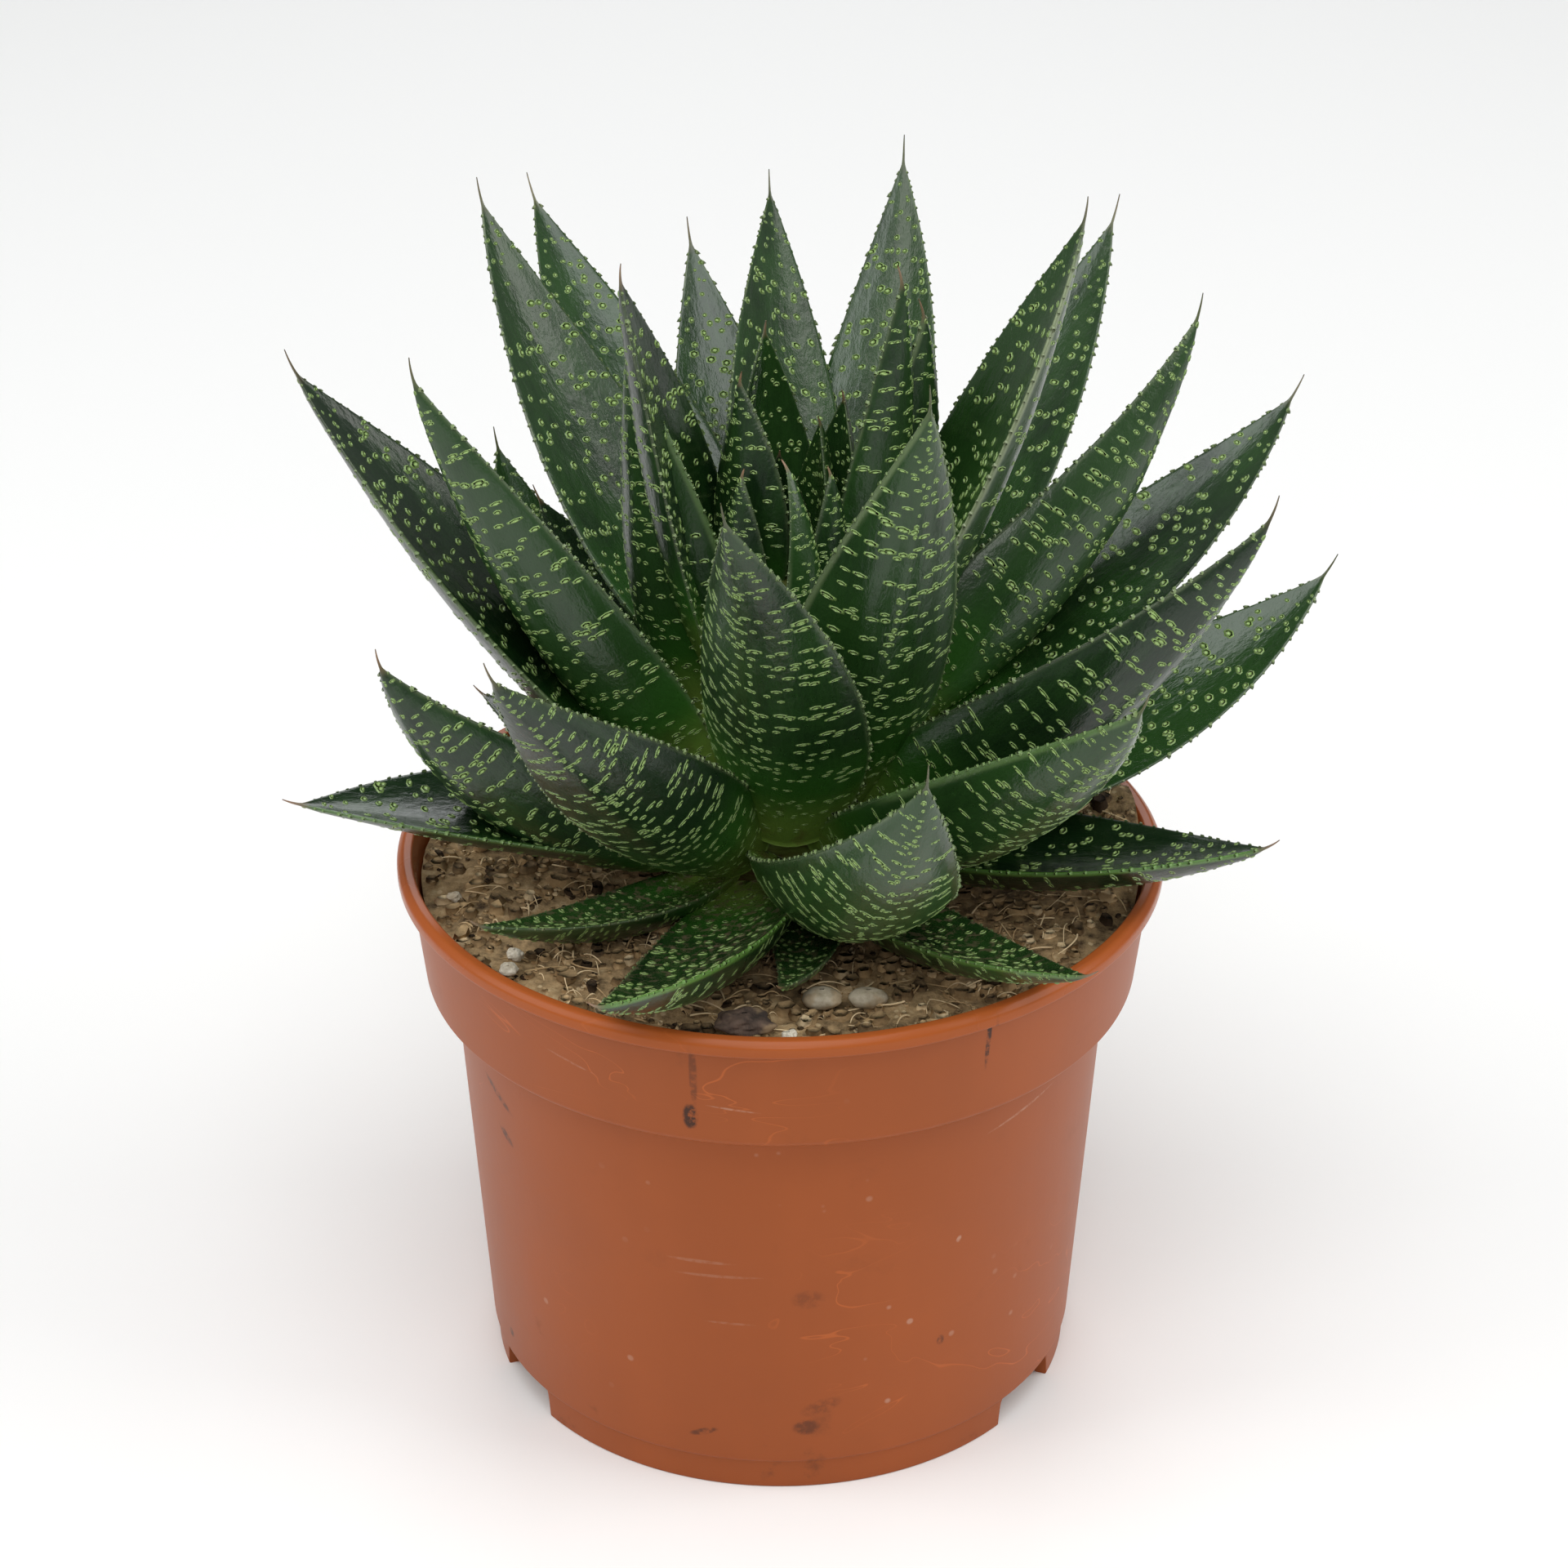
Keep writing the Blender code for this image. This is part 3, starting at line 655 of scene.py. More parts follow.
def pot_profile():
    """(radius, height) from the middle of the floor up the inside, over the lip and to the ground."""
    lip_bottom = RIM_HEIGHT - LIP_DEPTH
    neck = RIM_RADIUS - LIP_OVERHANG
    floor_top = FLOOR_UNDERSIDE + FLOOR
    return (
        (AXIS_RADIUS, FLOOR),
        (PAD_RADIUS - PAD_SLOPE, FLOOR),
        (PAD_RADIUS, floor_top),
        (body_radius(floor_top) - WALL, floor_top),
        (body_radius(COLLAR_HEIGHT) - WALL, COLLAR_HEIGHT + 0.4),
        (COLLAR_RADIUS - WALL, COLLAR_HEIGHT + 1.4),
        (neck - WALL, lip_bottom - 0.4),
        (neck - 0.5, RIM_HEIGHT - 0.1),
        (RIM_RADIUS - 0.9, RIM_HEIGHT),
        (RIM_RADIUS, RIM_HEIGHT - 0.9),
        (RIM_RADIUS, lip_bottom),
        (neck, lip_bottom - 0.5),
        (COLLAR_RADIUS, COLLAR_HEIGHT + 0.7),
        (COLLAR_RADIUS - 0.6, COLLAR_HEIGHT),
        (body_radius(COLLAR_HEIGHT), COLLAR_HEIGHT - 0.7),
        (body_radius(FOOT_HEIGHT) + FOOT_STEP, FLOOR_UNDERSIDE),
        (FOOT_RADIUS + 0.1, FOOT_HEIGHT),
        (FOOT_RADIUS, 0.0),
        (FOOT_RADIUS - FOOT_WALL, 0.0),
        (FOOT_RADIUS - FOOT_WALL, FLOOR_UNDERSIDE),
        (PAD_RADIUS + FLOOR, FLOOR_UNDERSIDE),
        (PAD_RADIUS + FLOOR - PAD_SLOPE, 0.0),
        (AXIS_RADIUS, 0.0),
    )


def pot_azimuths():
    """Even columns round the pot, with close ones at the sides of the notches."""
    half = math.degrees(0.5 * NOTCH_WIDTH / FOOT_RADIUS)
    round_by = math.degrees(NOTCH_CORNER / FOOT_RADIUS)
    edges = [
        NOTCH_TURN + index * 360.0 / NOTCH_COUNT + side * (half + offset)
        for index in range(NOTCH_COUNT)
        for side in (-1.0, 1.0)
        for offset in np.linspace(-round_by, round_by, 9)
    ]
    even = np.linspace(0.0, 360.0, POT_COLUMNS, endpoint=False)
    return np.unique(np.mod(np.concatenate([even, edges]), 360.0).round(3))


def notch_height(azimuths):
    """Lowest height of the foot: FOOT_HEIGHT in a notch, a quarter circle down to 0 at its side."""
    turned = np.mod(azimuths - NOTCH_TURN + 180.0 / NOTCH_COUNT, 360.0 / NOTCH_COUNT)
    away = np.radians(np.abs(turned - 180.0 / NOTCH_COUNT)) * FOOT_RADIUS
    into = np.clip((0.5 * NOTCH_WIDTH + 0.2 - away) / NOTCH_CORNER, 0.0, 1.0)
    return FOOT_HEIGHT * np.sqrt(1.0 - (1.0 - into) ** 2)


def pot_surface():
    """The profile carried round the axis; below the foot's height it rises to the notch height."""
    profile = round_corners(pot_profile(), CORNER_RADIUS, 4)
    azimuths = pot_azimuths()
    radius, azimuth = np.meshgrid(profile[:, 0], azimuths, indexing="ij")
    height = np.repeat(profile[:, 1:2], len(azimuths), axis=1)
    on_foot = (radius > FOOT_RADIUS - FOOT_WALL - 0.2) & (height < FOOT_HEIGHT)
    height = np.where(on_foot, np.maximum(height, notch_height(azimuth)), height)
    return closed_grid(on_circle(azimuth, radius, height))


def drill_holes(pot):
    """Cuts the drain holes through the raised floor and applies the cut."""
    drills = []
    for index in range(HOLE_COUNT):
        azimuth = (index + 0.5) * 360.0 / HOLE_COUNT
        place = on_circle(azimuth, HOLE_CIRCLE, FOOT_HEIGHT + 1.0) * MM
        bpy.ops.mesh.primitive_cylinder_add(
            vertices=24, radius=HOLE_RADIUS * MM, depth=4.0 * FLOOR * MM, location=place
        )
        drills.append(bpy.context.object)
        cut = pot.modifiers.new(f"hole_{index}", "BOOLEAN")
        cut.operation = "DIFFERENCE"
        cut.object = drills[-1]
    bpy.context.view_layer.update()
    graph = bpy.context.evaluated_depsgraph_get()
    cut_mesh = bpy.data.meshes.new_from_object(pot.evaluated_get(graph))
    pot.modifiers.clear()
    pot.data = cut_mesh
    for drill in drills:
        bpy.data.objects.remove(drill)


def pot_marks(graph, place):
    """Dark and pale marks: each is 1 at its middle and falls to 0 at an ellipse round it.

    For a mark at azimuth a, s = radius times the angle from a, and h = height from its middle less
    lean times s; the mark is 1 - ((s / half width)^2 + (h / half height)^2), with a torn edge.
    """
    parts = graph.node("ShaderNodeSeparateXYZ", {0: place}).outputs
    x, y, z = (Number(graph, part) * (1.0 / MM) for part in parts)
    angle = x.apply("ARCTAN2", x, y * -1.0)
    torn = graph.clouds(place, 700.0, 3.0, 0.7)
    dark = pale = Number(graph, parts[0]) * 0.0
    for azimuth, height, half_width, half_height, lean, strength in POT_MARKS:
        side = (angle - math.radians(azimuth)) * body_radius(height)
        rise = z - height - side * lean
        away = (side.size() / half_width) ** 2.0 + (rise.size() / half_height) ** 2.0
        mark = (1.0 - away).between(-0.3, 0.7) * torn.between(0.30, 0.62) * abs(strength)
        if strength > 0.0:
            dark = dark.apply("MAXIMUM", dark, mark)
        else:
            pale = pale.apply("MAXIMUM", pale, mark)
    return dark, pale


def pot_material(settings):
    """Satin terracotta plastic: clouds, flow lines, scuffs, dirt low down and at the lip, marks, lime,
    and a lighter lip as painted glow.
    """
    graph = Graph("terracotta_plastic", {"IOR": 1.46, "Specular IOR Level": 0.22})
    place = graph.place()
    height = Number(graph, graph.node("ShaderNodeSeparateXYZ", {0: place}).outputs[2])
    colour = Vector(settings.colour)
    flow = graph.clouds(graph.stretch(place, (60.0, 60.0, 9.0)), 1.0, 3.0)
    cloud = graph.clouds(place, 28.0, 4.0, 0.6)
    tone = graph.ramp(
        flow * 0.4 + cloud * 0.6,
        (0.30, colour * 0.90),
        (0.55, colour),
        (0.80, colour * 1.10),
    )
    thread = graph.clouds(graph.stretch(place, (30.0, 30.0, 70.0)), 1.0, 2.0, 0.5, 1.6)
    scuff_here = graph.clouds(place, 22.0, 1.0).between(0.55, 0.66)
    scuff = (thread - 0.5).size().between(0.006, 0.001) * scuff_here * settings.wear
    worn = graph.mix(scuff * 0.55, tone, colour * 1.9)
    dirt_cloud = graph.clouds(place, 75.0, 5.0, 0.7)
    low = height.between(0.030, 0.0)
    near_lip = height.between(0.080, 0.0905)
    dirt = dirt_cloud.between(0.60, 0.72) * (0.10 + low * 0.45 + near_lip * 0.35) * settings.wear
    dirty = graph.mix(dirt, worn, POT_DIRT)
    distance, chance = graph.specks(place, 300.0)
    lime_here = (chance > 0.90) * cloud.between(0.46, 0.62) * settings.wear
    lime = distance.between(0.22, 0.10) * lime_here
    dark, pale = pot_marks(graph, place)
    smudged = graph.mix(dark * settings.wear * 1.9, dirty, POT_SMUDGE)
    limed = graph.mix(lime * 0.55 + pale * settings.wear, smudged, POT_LIME)
    # Lighter lip band: painted glow of light shining through the thin plastic edge; its lower roughness
    # is real gloss.
    lip = height.between(0.0874, 0.0884)
    graph.set("Base Color", graph.mix(lip * 0.75, limed, colour * 1.12))
    graph.set("Roughness", settings.gloss - 0.06 + cloud * 0.10 + dirt * 0.25 - lip * 0.14)
    grain = graph.clouds(place, 900.0, 2.0)
    wave = graph.clouds(graph.stretch(place, (26.0, 26.0, 40.0)), 1.0, 1.0)
    soft = graph.bump(wave, 0.25, 0.0012)
    graph.set("Normal", graph.bump(grain - scuff * 2.0, 0.10, 0.00008, soft))
    return graph.material


class GASTERIA_OT_pot(bpy.types.Operator):
    """Turn the pot and drill its drain holes"""

    bl_idname = "gasteria.pot"
    bl_label = "Pot"

    def execute(self, context):
        surface = pot_material(context.scene.gasteria_pot)
        gathering = Gathering()
        gathering.add(*pot_surface())
        pot = gathering.piece("nursery_pot", surface, "terracotta_plastic", "pot")
        drill_holes(pot)
        pot.data.shade_smooth()
        pot.data.set_sharp_from_angle(angle=math.radians(40.0))
        return {"FINISHED"}


def soil_height(x, y):
    """Top of the soil: a level with a heap, worn into crumbs 1 to 9 mm across."""
    heap_angle = math.radians(HEAP_AZIMUTH)
    heap_x, heap_y = HEAP_REACH * math.sin(heap_angle), -HEAP_REACH * math.cos(heap_angle)
    heap = HEAP_HEIGHT * np.exp(-((x - heap_x) ** 2 + (y - heap_y) ** 2) / HEAP_SPREAD**2)
    flat = np.stack([x, y, 0.0 * x], axis=-1)
    lumps = 0.5 * rough(flat, 9.0, 3) + 0.55 * rough(flat, 3.4, 5)
    lumps = lumps + 0.40 * np.abs(rough(flat, 1.5, 8))
    return SOIL_LEVEL + heap + lumps + 0.16 * rough(flat, 0.75, 11)


def soil_outline():
    """(radius, height) of the soil from the stem's hole over its top, down the wall and underneath."""
    top_edge = NECK_INSIDE - GAP - 0.3
    hole = STEM_PROFILE[-1][0] + GAP
    floor_top = FLOOR_UNDERSIDE + FLOOR + GAP
    top = [(radius, SOIL_LEVEL) for radius in np.arange(hole, top_edge, SOIL_STEP)]
    return np.array(
        [(AXIS_RADIUS, SOIL_LEVEL - STEM_HOLE_DEPTH), (hole, SOIL_LEVEL - STEM_HOLE_DEPTH)]
        + top
        + [
            (top_edge, SOIL_LEVEL),
            (COLLAR_RADIUS - WALL - 2.0 * GAP, COLLAR_HEIGHT + 2.0),
            (body_radius(COLLAR_HEIGHT) - WALL - 2.0 * GAP, COLLAR_HEIGHT + 0.8),
            (body_radius(floor_top) - WALL - 2.0 * GAP, floor_top),
            (PAD_RADIUS - 0.3, floor_top),
            (PAD_RADIUS - PAD_SLOPE - 0.5, FLOOR + GAP),
            (AXIS_RADIUS, FLOOR + GAP),
        ]
    )


def soil_surface():
    """The outline carried round the axis, its top raised to the soil's height."""
    outline = soil_outline()
    azimuths = np.linspace(0.0, 360.0, SOIL_COLUMNS, endpoint=False)
    radius, azimuth = np.meshgrid(outline[:, 0], azimuths, indexing="ij")
    height = np.repeat(outline[:, 1:2], len(azimuths), axis=1)
    points = on_circle(azimuth, radius, height)
    risen = soil_height(points[..., 0], points[..., 1])
    points[..., 2] = np.where(height == SOIL_LEVEL, risen, height)
    return closed_grid(points)


def soil_material(settings):
    """Peat: dark hollows, brown crumbs and straw flecks, rough all over."""
    graph = Graph("peat_soil", {"Specular IOR Level": 0.25})
    place = graph.place()
    crumb = graph.clouds(place, 420.0, 6.0, 0.68)
    patch = graph.clouds(place, 70.0, 3.0)
    blend = crumb * 0.75 + patch * 0.35
    brown, straw = Vector(settings.brown), Vector(settings.straw)
    tone = graph.ramp(
        blend,
        (0.38, settings.dark),
        (0.50, brown * 0.6),
        (0.60, brown),
        (0.74, straw * 0.8),
    )
    distance, chance = graph.specks(place, 700.0)
    fleck = distance.between(0.36, 0.22) * (chance > 0.86)
    graph.set("Base Color", graph.mix(fleck * 0.6, tone, settings.straw))
    graph.set("Roughness", 0.85 + crumb * 0.15)
    graph.set("Normal", graph.bump(graph.clouds(place, 1500.0, 5.0, 0.7), 0.8, 0.0005))
    return graph.material


def loose_material(settings):
    """The same peat for crumbs and fibres, each with its own tone in the mark named loose_tone."""
    graph = Graph("loose_peat", {"Roughness": 0.9, "Specular IOR Level": 0.25})
    place = graph.place()
    _, (tone, _, _) = graph.mark("loose_tone")
    grain = graph.clouds(place, 900.0, 4.0, 0.65)
    brown, straw = Vector(settings.brown), Vector(settings.straw)
    colour = graph.ramp(
        tone + (grain - 0.5) * 0.5,
        (0.05, settings.dark),
        (0.35, brown * 0.7),
        (0.60, brown * 1.2),
        (0.82, straw),
        (1.00, straw * 1.35),
    )
    graph.set("Base Color", colour)
    graph.set("Normal", graph.bump(grain, 0.7, 0.0004))
    return graph.material


def ball(rows, columns):
    """A unit ball as rings from pole to pole, (rows, columns, 3)."""
    tilt = np.linspace(0.0, np.pi, rows + 2)[1:-1]
    turn = np.linspace(0.0, 2.0 * np.pi, columns, endpoint=False)
    tilt, turn = np.meshgrid(tilt, turn, indexing="ij")
    x, y = np.sin(tilt) * np.cos(turn), np.sin(tilt) * np.sin(turn)
    return np.stack([x, y, np.cos(tilt)], axis=-1)


def crumb_copies(settings, rng):
    """Lumpy balls: a ball's points times 1 + 0.35 noise, pressed flat, turned and laid on the soil."""
    count = settings.crumbs
    points, faces = closed_grid(ball(3, 6))
    points[-2:] *= 1.0 / np.cos(np.pi / 4.0)
    azimuth = rng.uniform(0.0, 360.0, count)
    reach = np.sqrt(rng.uniform(0.06, 1.0, count)) * (NECK_INSIDE - 1.6)
    size = 0.45 + 1.35 * rng.uniform(0.0, 1.0, count) ** 2.5
    flat = np.stack([rng.uniform(*between, count) for between in CRUMB_SHAPE])
    lumpy = 1.0 + 0.35 * rough(points[None] + rng.uniform(0.0, 90.0, (count, 1, 3)), 0.9, 21)
    shaped = points[None] * lumpy[..., None] * (size * flat).T[:, None]
    turn = rng.uniform(0.0, 2.0 * np.pi, count)[:, None]
    x = shaped[..., 0] * np.cos(turn) - shaped[..., 1] * np.sin(turn)
    y = shaped[..., 0] * np.sin(turn) + shaped[..., 1] * np.cos(turn)
    place = on_circle(azimuth, reach, 0.0)
    place[:, 2] = soil_height(place[:, 0], place[:, 1]) + 0.25 * size
    tone = np.clip(rng.normal(0.45, 0.22, count), 0.0, 1.0)
    laid = np.stack([x, y, shaped[..., 2]], axis=-1) + place[:, None]
    return laid, faces, tone


def fibre_copies(starts, headings, lengths, radii, bends, lifts, sides=4, stations=8):
    """Thin tubes: each runs from its start, turns by its bend and arches by its lift times 4t(1-t)."""
    t = np.linspace(0.0, 1.0, stations)
    heading = headings[:, None] + bends[:, None] * t
    step = lengths[:, None] / (stations - 1)
    x = np.cumsum(np.cos(heading) * step, axis=1)
    y = np.cumsum(np.sin(heading) * step, axis=1)
    z = lifts[:, None] * 4.0 * t * (1.0 - t)
    middle = starts[:, None] + np.stack([x, y, z], axis=-1)
    side = np.stack([-np.sin(heading), np.cos(heading), 0.0 * heading], axis=-1)
    up = np.broadcast_to(np.array([0.0, 0.0, 1.0]), side.shape)
    angle = np.linspace(0.0, 2.0 * np.pi, sides, endpoint=False)
    thin = radii[:, None, None, None] * (1.0 - 0.6 * t**2)[None, :, None, None]
    ring = side[:, :, None] * np.cos(angle)[:, None] + up[:, :, None] * np.sin(angle)[:, None]
    rings = middle[:, :, None] + thin * ring
    copies = len(starts)
    poles = np.stack([middle[:, 0], middle[:, -1]], axis=1)
    points = np.concatenate([rings.reshape(copies, -1, 3), poles], axis=1)
    return points, closed_grid(rings[0])[1]


def soil_fibres(settings, rng):
    """Coir fibres that lie on the soil in all directions, with both ends inside the pot."""
    count = settings.fibres
    azimuth = rng.uniform(0.0, 360.0, count)
    reach = np.sqrt(rng.uniform(0.08, 1.0, count)) * (NECK_INSIDE - 4.0)
    starts = on_circle(azimuth, reach, 0.0)
    starts[:, 2] = soil_height(starts[:, 0], starts[:, 1]) + 0.35
    heading = rng.uniform(0.0, 2.0 * np.pi, count)
    length = rng.uniform(1.5, 7.0, count)
    end = starts[:, :2] + length[:, None] * np.stack([np.cos(heading), np.sin(heading)], axis=-1)
    inside = np.linalg.norm(end, axis=1) < NECK_INSIDE - 0.8
    points, faces = fibre_copies(
        starts[inside],
        heading[inside],
        length[inside],
        rng.uniform(0.07, 0.20, count)[inside],
        rng.normal(0.0, 0.8, count)[inside],
        rng.uniform(0.0, 1.0, count)[inside],
    )
    tone = rng.uniform(0.55, 1.0, inside.sum())
    return points, faces, tone


def tone_marks(tone, each):
    """One tone for every point of each copy, as the first number of a mark."""
    marks = np.zeros((len(tone), each, 3))
    marks[..., 0] = tone[:, None]
    return marks


class GASTERIA_OT_soil(bpy.types.Operator):
    """Fill the pot with peat and scatter crumbs and fibres on it"""

    bl_idname = "gasteria.soil"
    bl_label = "Soil"

    def execute(self, context):
        settings = context.scene.gasteria_soil
        rng = np.random.default_rng(settings.seed)
        ground = Gathering()
        ground.add(*soil_surface())
        ground.piece("peat", soil_material(settings), "peat_soil", "soil")
        surface = loose_material(settings)
        for name, (points, faces, tone) in (
            ("soil_crumbs", crumb_copies(settings, rng)),
            ("soil_fibres", soil_fibres(settings, rng)),
        ):
            loose = Gathering()
            loose.add_copies(points, faces, loose_tone=tone_marks(tone, points.shape[1]))
            loose.piece(name, surface, "peat_soil")
        return {"FINISHED"}


def grain_surface(node, lumps, seed):
    """A ball times 1 + lumps times noise, fitted into the box of the node it stands for."""
    rows = ball(30, 48)
    lumpy = rows * (1.0 + lumps * rough(rows + seed * 7.7, 0.8, seed, 3))[..., None]
    low, high = (np.array(corner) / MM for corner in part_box(node))
    points, faces = closed_grid(lumpy)
    least, most = points.min(axis=0), points.max(axis=0)
    return low + (points - least) / (most - least) * (high - low), faces


def grain_material(kind, settings):
    """Pale pebble, dark bark or white foamed perlite, each with its own grain."""
    looks = {
        "pebble": ((0.30, 0.25, 0.17), (0.50, 0.44, 0.33), 0.55, 500.0, 0.3, "pale_pebble"),
        "bark": ((0.025, 0.016, 0.012), (0.110, 0.070, 0.050), 0.85, 350.0, 0.9, "dark_bark"),
        "perlite": ((0.50, 0.44, 0.34), (0.78, 0.72, 0.60), 0.80, 1400.0, 0.8, "perlite"),
    }
    dark, light, roughness, scale, depth, name = looks[kind]
    graph = Graph(name, {"Roughness": roughness})
    place = graph.place()
    grain = graph.clouds(place, scale, 5.0, 0.65)
    tone = graph.ramp(grain, (0.35, dark), (0.62, light))
    dusty = graph.clouds(place, 260.0, 3.0).between(0.50, 0.66)
    graph.set("Base Color", graph.mix(dusty * 0.45, tone, settings.brown))
    graph.set("Normal", graph.bump(grain, depth, 0.0005))
    return graph.material


class GASTERIA_OT_grains(bpy.types.Operator):
    """Lay the pebbles, the bark chip and the perlite grains on the soil"""

    bl_idname = "gasteria.grains"
    bl_label = "Grains"

    def execute(self, context):
        lumps = {"pebble": 0.08, "bark": 0.35, "perlite": 0.30}
        slots = {"pebble": "pale_pebble", "bark": "dark_bark", "perlite": "perlite"}
        settings = context.scene.gasteria_soil
        surfaces = {kind: grain_material(kind, settings) for kind in lumps}
        for seed, (node, kind) in enumerate(GRAINS.items(), start=1):
            gathering = Gathering()
            gathering.add(*grain_surface(node, lumps[kind], seed))
            gathering.piece(f"{node}_stone", surfaces[kind], slots[kind], node)
        return {"FINISHED"}


def stem_radius(height):
    """Radius of the stem at any height, in millimetres."""
    radii, heights = zip(*reversed(STEM_PROFILE))
    return np.interp(height, heights, radii)


def stem_surface():
    """The stem's outline carried round, less 0.3 mm, ringed by leaf scars as 0.25 sin(z / 0.8)."""
    heights = np.linspace(STEM_PROFILE[0][1], STEM_PROFILE[-1][1], 90)
    azimuths = np.linspace(0.0, 360.0, STEM_COLUMNS, endpoint=False)
    height, azimuth = np.meshgrid(heights, azimuths, indexing="ij")
    scars = 0.25 * np.sin(height / 0.8 + 0.02 * azimuth)
    radius = np.maximum(stem_radius(height) - 0.3 + scars, 0.3)
    return closed_grid(on_circle(azimuth, radius, height))


def stem_material():
    """Yellow-green flesh with reddish-brown rings."""
    graph = Graph("leaf_base_green", {"Roughness": 0.5})
    place = graph.place()
    cloud = graph.clouds(graph.stretch(place, (1.0, 1.0, 4.0)), 150.0, 4.0, 0.6)
    tone = graph.ramp(
        cloud, (0.35, (0.10, 0.05, 0.02)), (0.5, (0.13, 0.15, 0.03)), (0.7, (0.20, 0.26, 0.06))
    )
    graph.set("Base Color", tone)
    graph.set("Normal", graph.bump(cloud, 0.4, 0.0004))
    return graph.material


class GASTERIA_OT_stem(bpy.types.Operator):
    """Turn the short stem under the leaves"""

    bl_idname = "gasteria.stem"
    bl_label = "Stem"

    def execute(self, context):
        gathering = Gathering()
        gathering.add(*stem_surface())
        gathering.piece("leafy_stem", stem_material(), "leaf_base_green", "stem")
        return {"FINISHED"}


def width_share(along):
    """Width at each share of the length: swells from the root, then tapers like a sine to the awn."""
    swell = ROOT_WIDTH + (1.0 - ROOT_WIDTH) * np.sin(
        0.5 * np.pi * np.clip(along / WIDEST_AT, 0.0, 1.0)
    )
    blade_end = 1.0 - AWN_SHARE
    left = np.clip((blade_end - along) / (blade_end - WIDEST_AT), 0.0, 1.0)
    taper = np.sin(0.5 * np.pi * left) ** TAPER
    return np.where(along < WIDEST_AT, swell, taper)


class LeafForm:
    """A leaf's midrib, directions and section sizes along its length, and the skin round them.

    The midrib climbs at an angle that changes evenly from root to tip, with a hook at the end,
    while it turns evenly sideways.
    """

    def __init__(self, leaf, seed):
        self.leaf = leaf
        self.seed = seed
        self.share = np.linspace(0.0, 1.0, MIDRIB_STEPS)
        share = self.share
        hook = HOOK_ANGLE * np.clip((share - HOOK_FROM) / (1.0 - HOOK_FROM), 0.0, 1.0) ** 2
        rise = np.radians(leaf.root_rise + (leaf.tip_rise - leaf.root_rise) * share + hook)
        turn = np.radians(leaf.azimuth + leaf.sweep * share)
        ahead = np.stack(
            [np.cos(rise) * np.sin(turn), -np.cos(rise) * np.cos(turn), np.sin(rise)], axis=1
        )
        steps = 0.5 * (ahead[1:] + ahead[:-1]) * leaf.length / (MIDRIB_STEPS - 1)
        steep = math.sin(math.radians(min(max(leaf.root_rise, 0.0), 90.0)))
        reach = stem_radius(leaf.root_height) + 0.5 + CHANNEL * ROOT_WIDTH * leaf.width * steep
        root = on_circle(leaf.azimuth, reach, leaf.root_height)
        points = np.vstack([root, root + np.cumsum(steps, axis=0)])
        level = np.stack([np.cos(turn), np.sin(turn), 0.0 * turn], axis=1)
        upward = np.cross(ahead, level)
        roll = math.radians(leaf.roll)
        across = level * math.cos(roll) + upward * math.sin(roll)
        inward = upward * math.cos(roll) - level * math.sin(roll)
        width = leaf.width * width_share(share)
        thick = THICKNESS * leaf.width * width_share(share) ** TAPER
        awn = np.interp(share, [1.0 - 2.0 * AWN_SHARE, 1.0], [AWN_WIDTH, AWN_END])
        sizes = np.stack([np.hypot(width, awn), np.hypot(thick, 0.7 * awn)], axis=1)
        self.table = np.hstack([points, across, inward, sizes])

    def at(self, share):
        """The table's values at any shares of the length."""
        return np.stack([np.interp(share, self.share, column) for column in self.table.T], axis=-1)

    def skin(self, share, angle):
        """Points on the skin, with u = cos(angle) as the share of the half width.

        Inner face: lift u^2 + edge (1 - (1 - sin)^3) + ripple. Outer face, with p falling from
        root to tip so that the keel sharpens: lift u^2 - thick (1 - |u|^p)^0.75. Both add soft lumps.
        """
        values = self.at(share)
        width, thick = values[..., 9], values[..., 10]
        u, high = np.cos(angle), np.sin(angle)
        flesh = np.minimum(width / 20.0, 1.0)
        lift = CHANNEL * width * u**2
        edge = np.minimum(MARGIN_ROUND, 0.12 * width) * (1.0 - (1.0 - np.abs(high)) ** 3)
        slow = np.stack([share * 9.0, 0.0 * u, 0.0 * u + self.seed], axis=-1)
        wander = 2.0 * rough(slow, 1.0, 30)
        ripple = 0.13 * flesh * np.cos(5.0 * np.pi * u + self.seed + wander) * (1.0 - u**2)
        power = KEEL_AT_ROOT + (KEEL_AT_TIP - KEEL_AT_ROOT) * share
        keel = thick * (1.0 - np.abs(u) ** power) ** 0.75
        side = np.where(high >= 0.0, 1.0, -1.0)
        apart = side * 30.0 + 0.0 * u
        place = np.stack([share * self.leaf.length, u * 0.5 * width, apart], axis=-1)
        soft = rough(place + self.seed * 53.0, 11.0, 31) + 0.35 * rough(place + self.seed, 4.0, 32)
        lumps = 0.22 * flesh * np.abs(high) * soft
        up = lift + np.where(high >= 0.0, edge + ripple + lumps, -keel - lumps)
        out = u * 0.5 * width
        across, inward = values[..., 3:6], values[..., 6:9]
        return values[..., 0:3] + across * out[..., None] + inward * up[..., None]

    def outward(self, share, angle):
        """Unit normals of the skin, from differences along the leaf and round its section."""
        step = 0.003
        along = self.skin(share + step, angle) - self.skin(share - step, angle)
        around = self.skin(share, angle + step) - self.skin(share, angle - step)
        normal = np.cross(around, along)
        return normal / np.maximum(np.linalg.norm(normal, axis=-1, keepdims=True), 1e-9)

    def place_mark(self, share, angle):
        """Millimetres along and across the leaf, moved so that no two leaves match, and the face."""
        width = self.at(share)[..., 9]
        side = np.where(np.sin(angle) >= 0.0, 1.0, -1.0)
        along = share * self.leaf.length + self.seed * MARK_SHIFT
        return np.stack([along, np.cos(angle) * 0.5 * width, side], axis=-1)


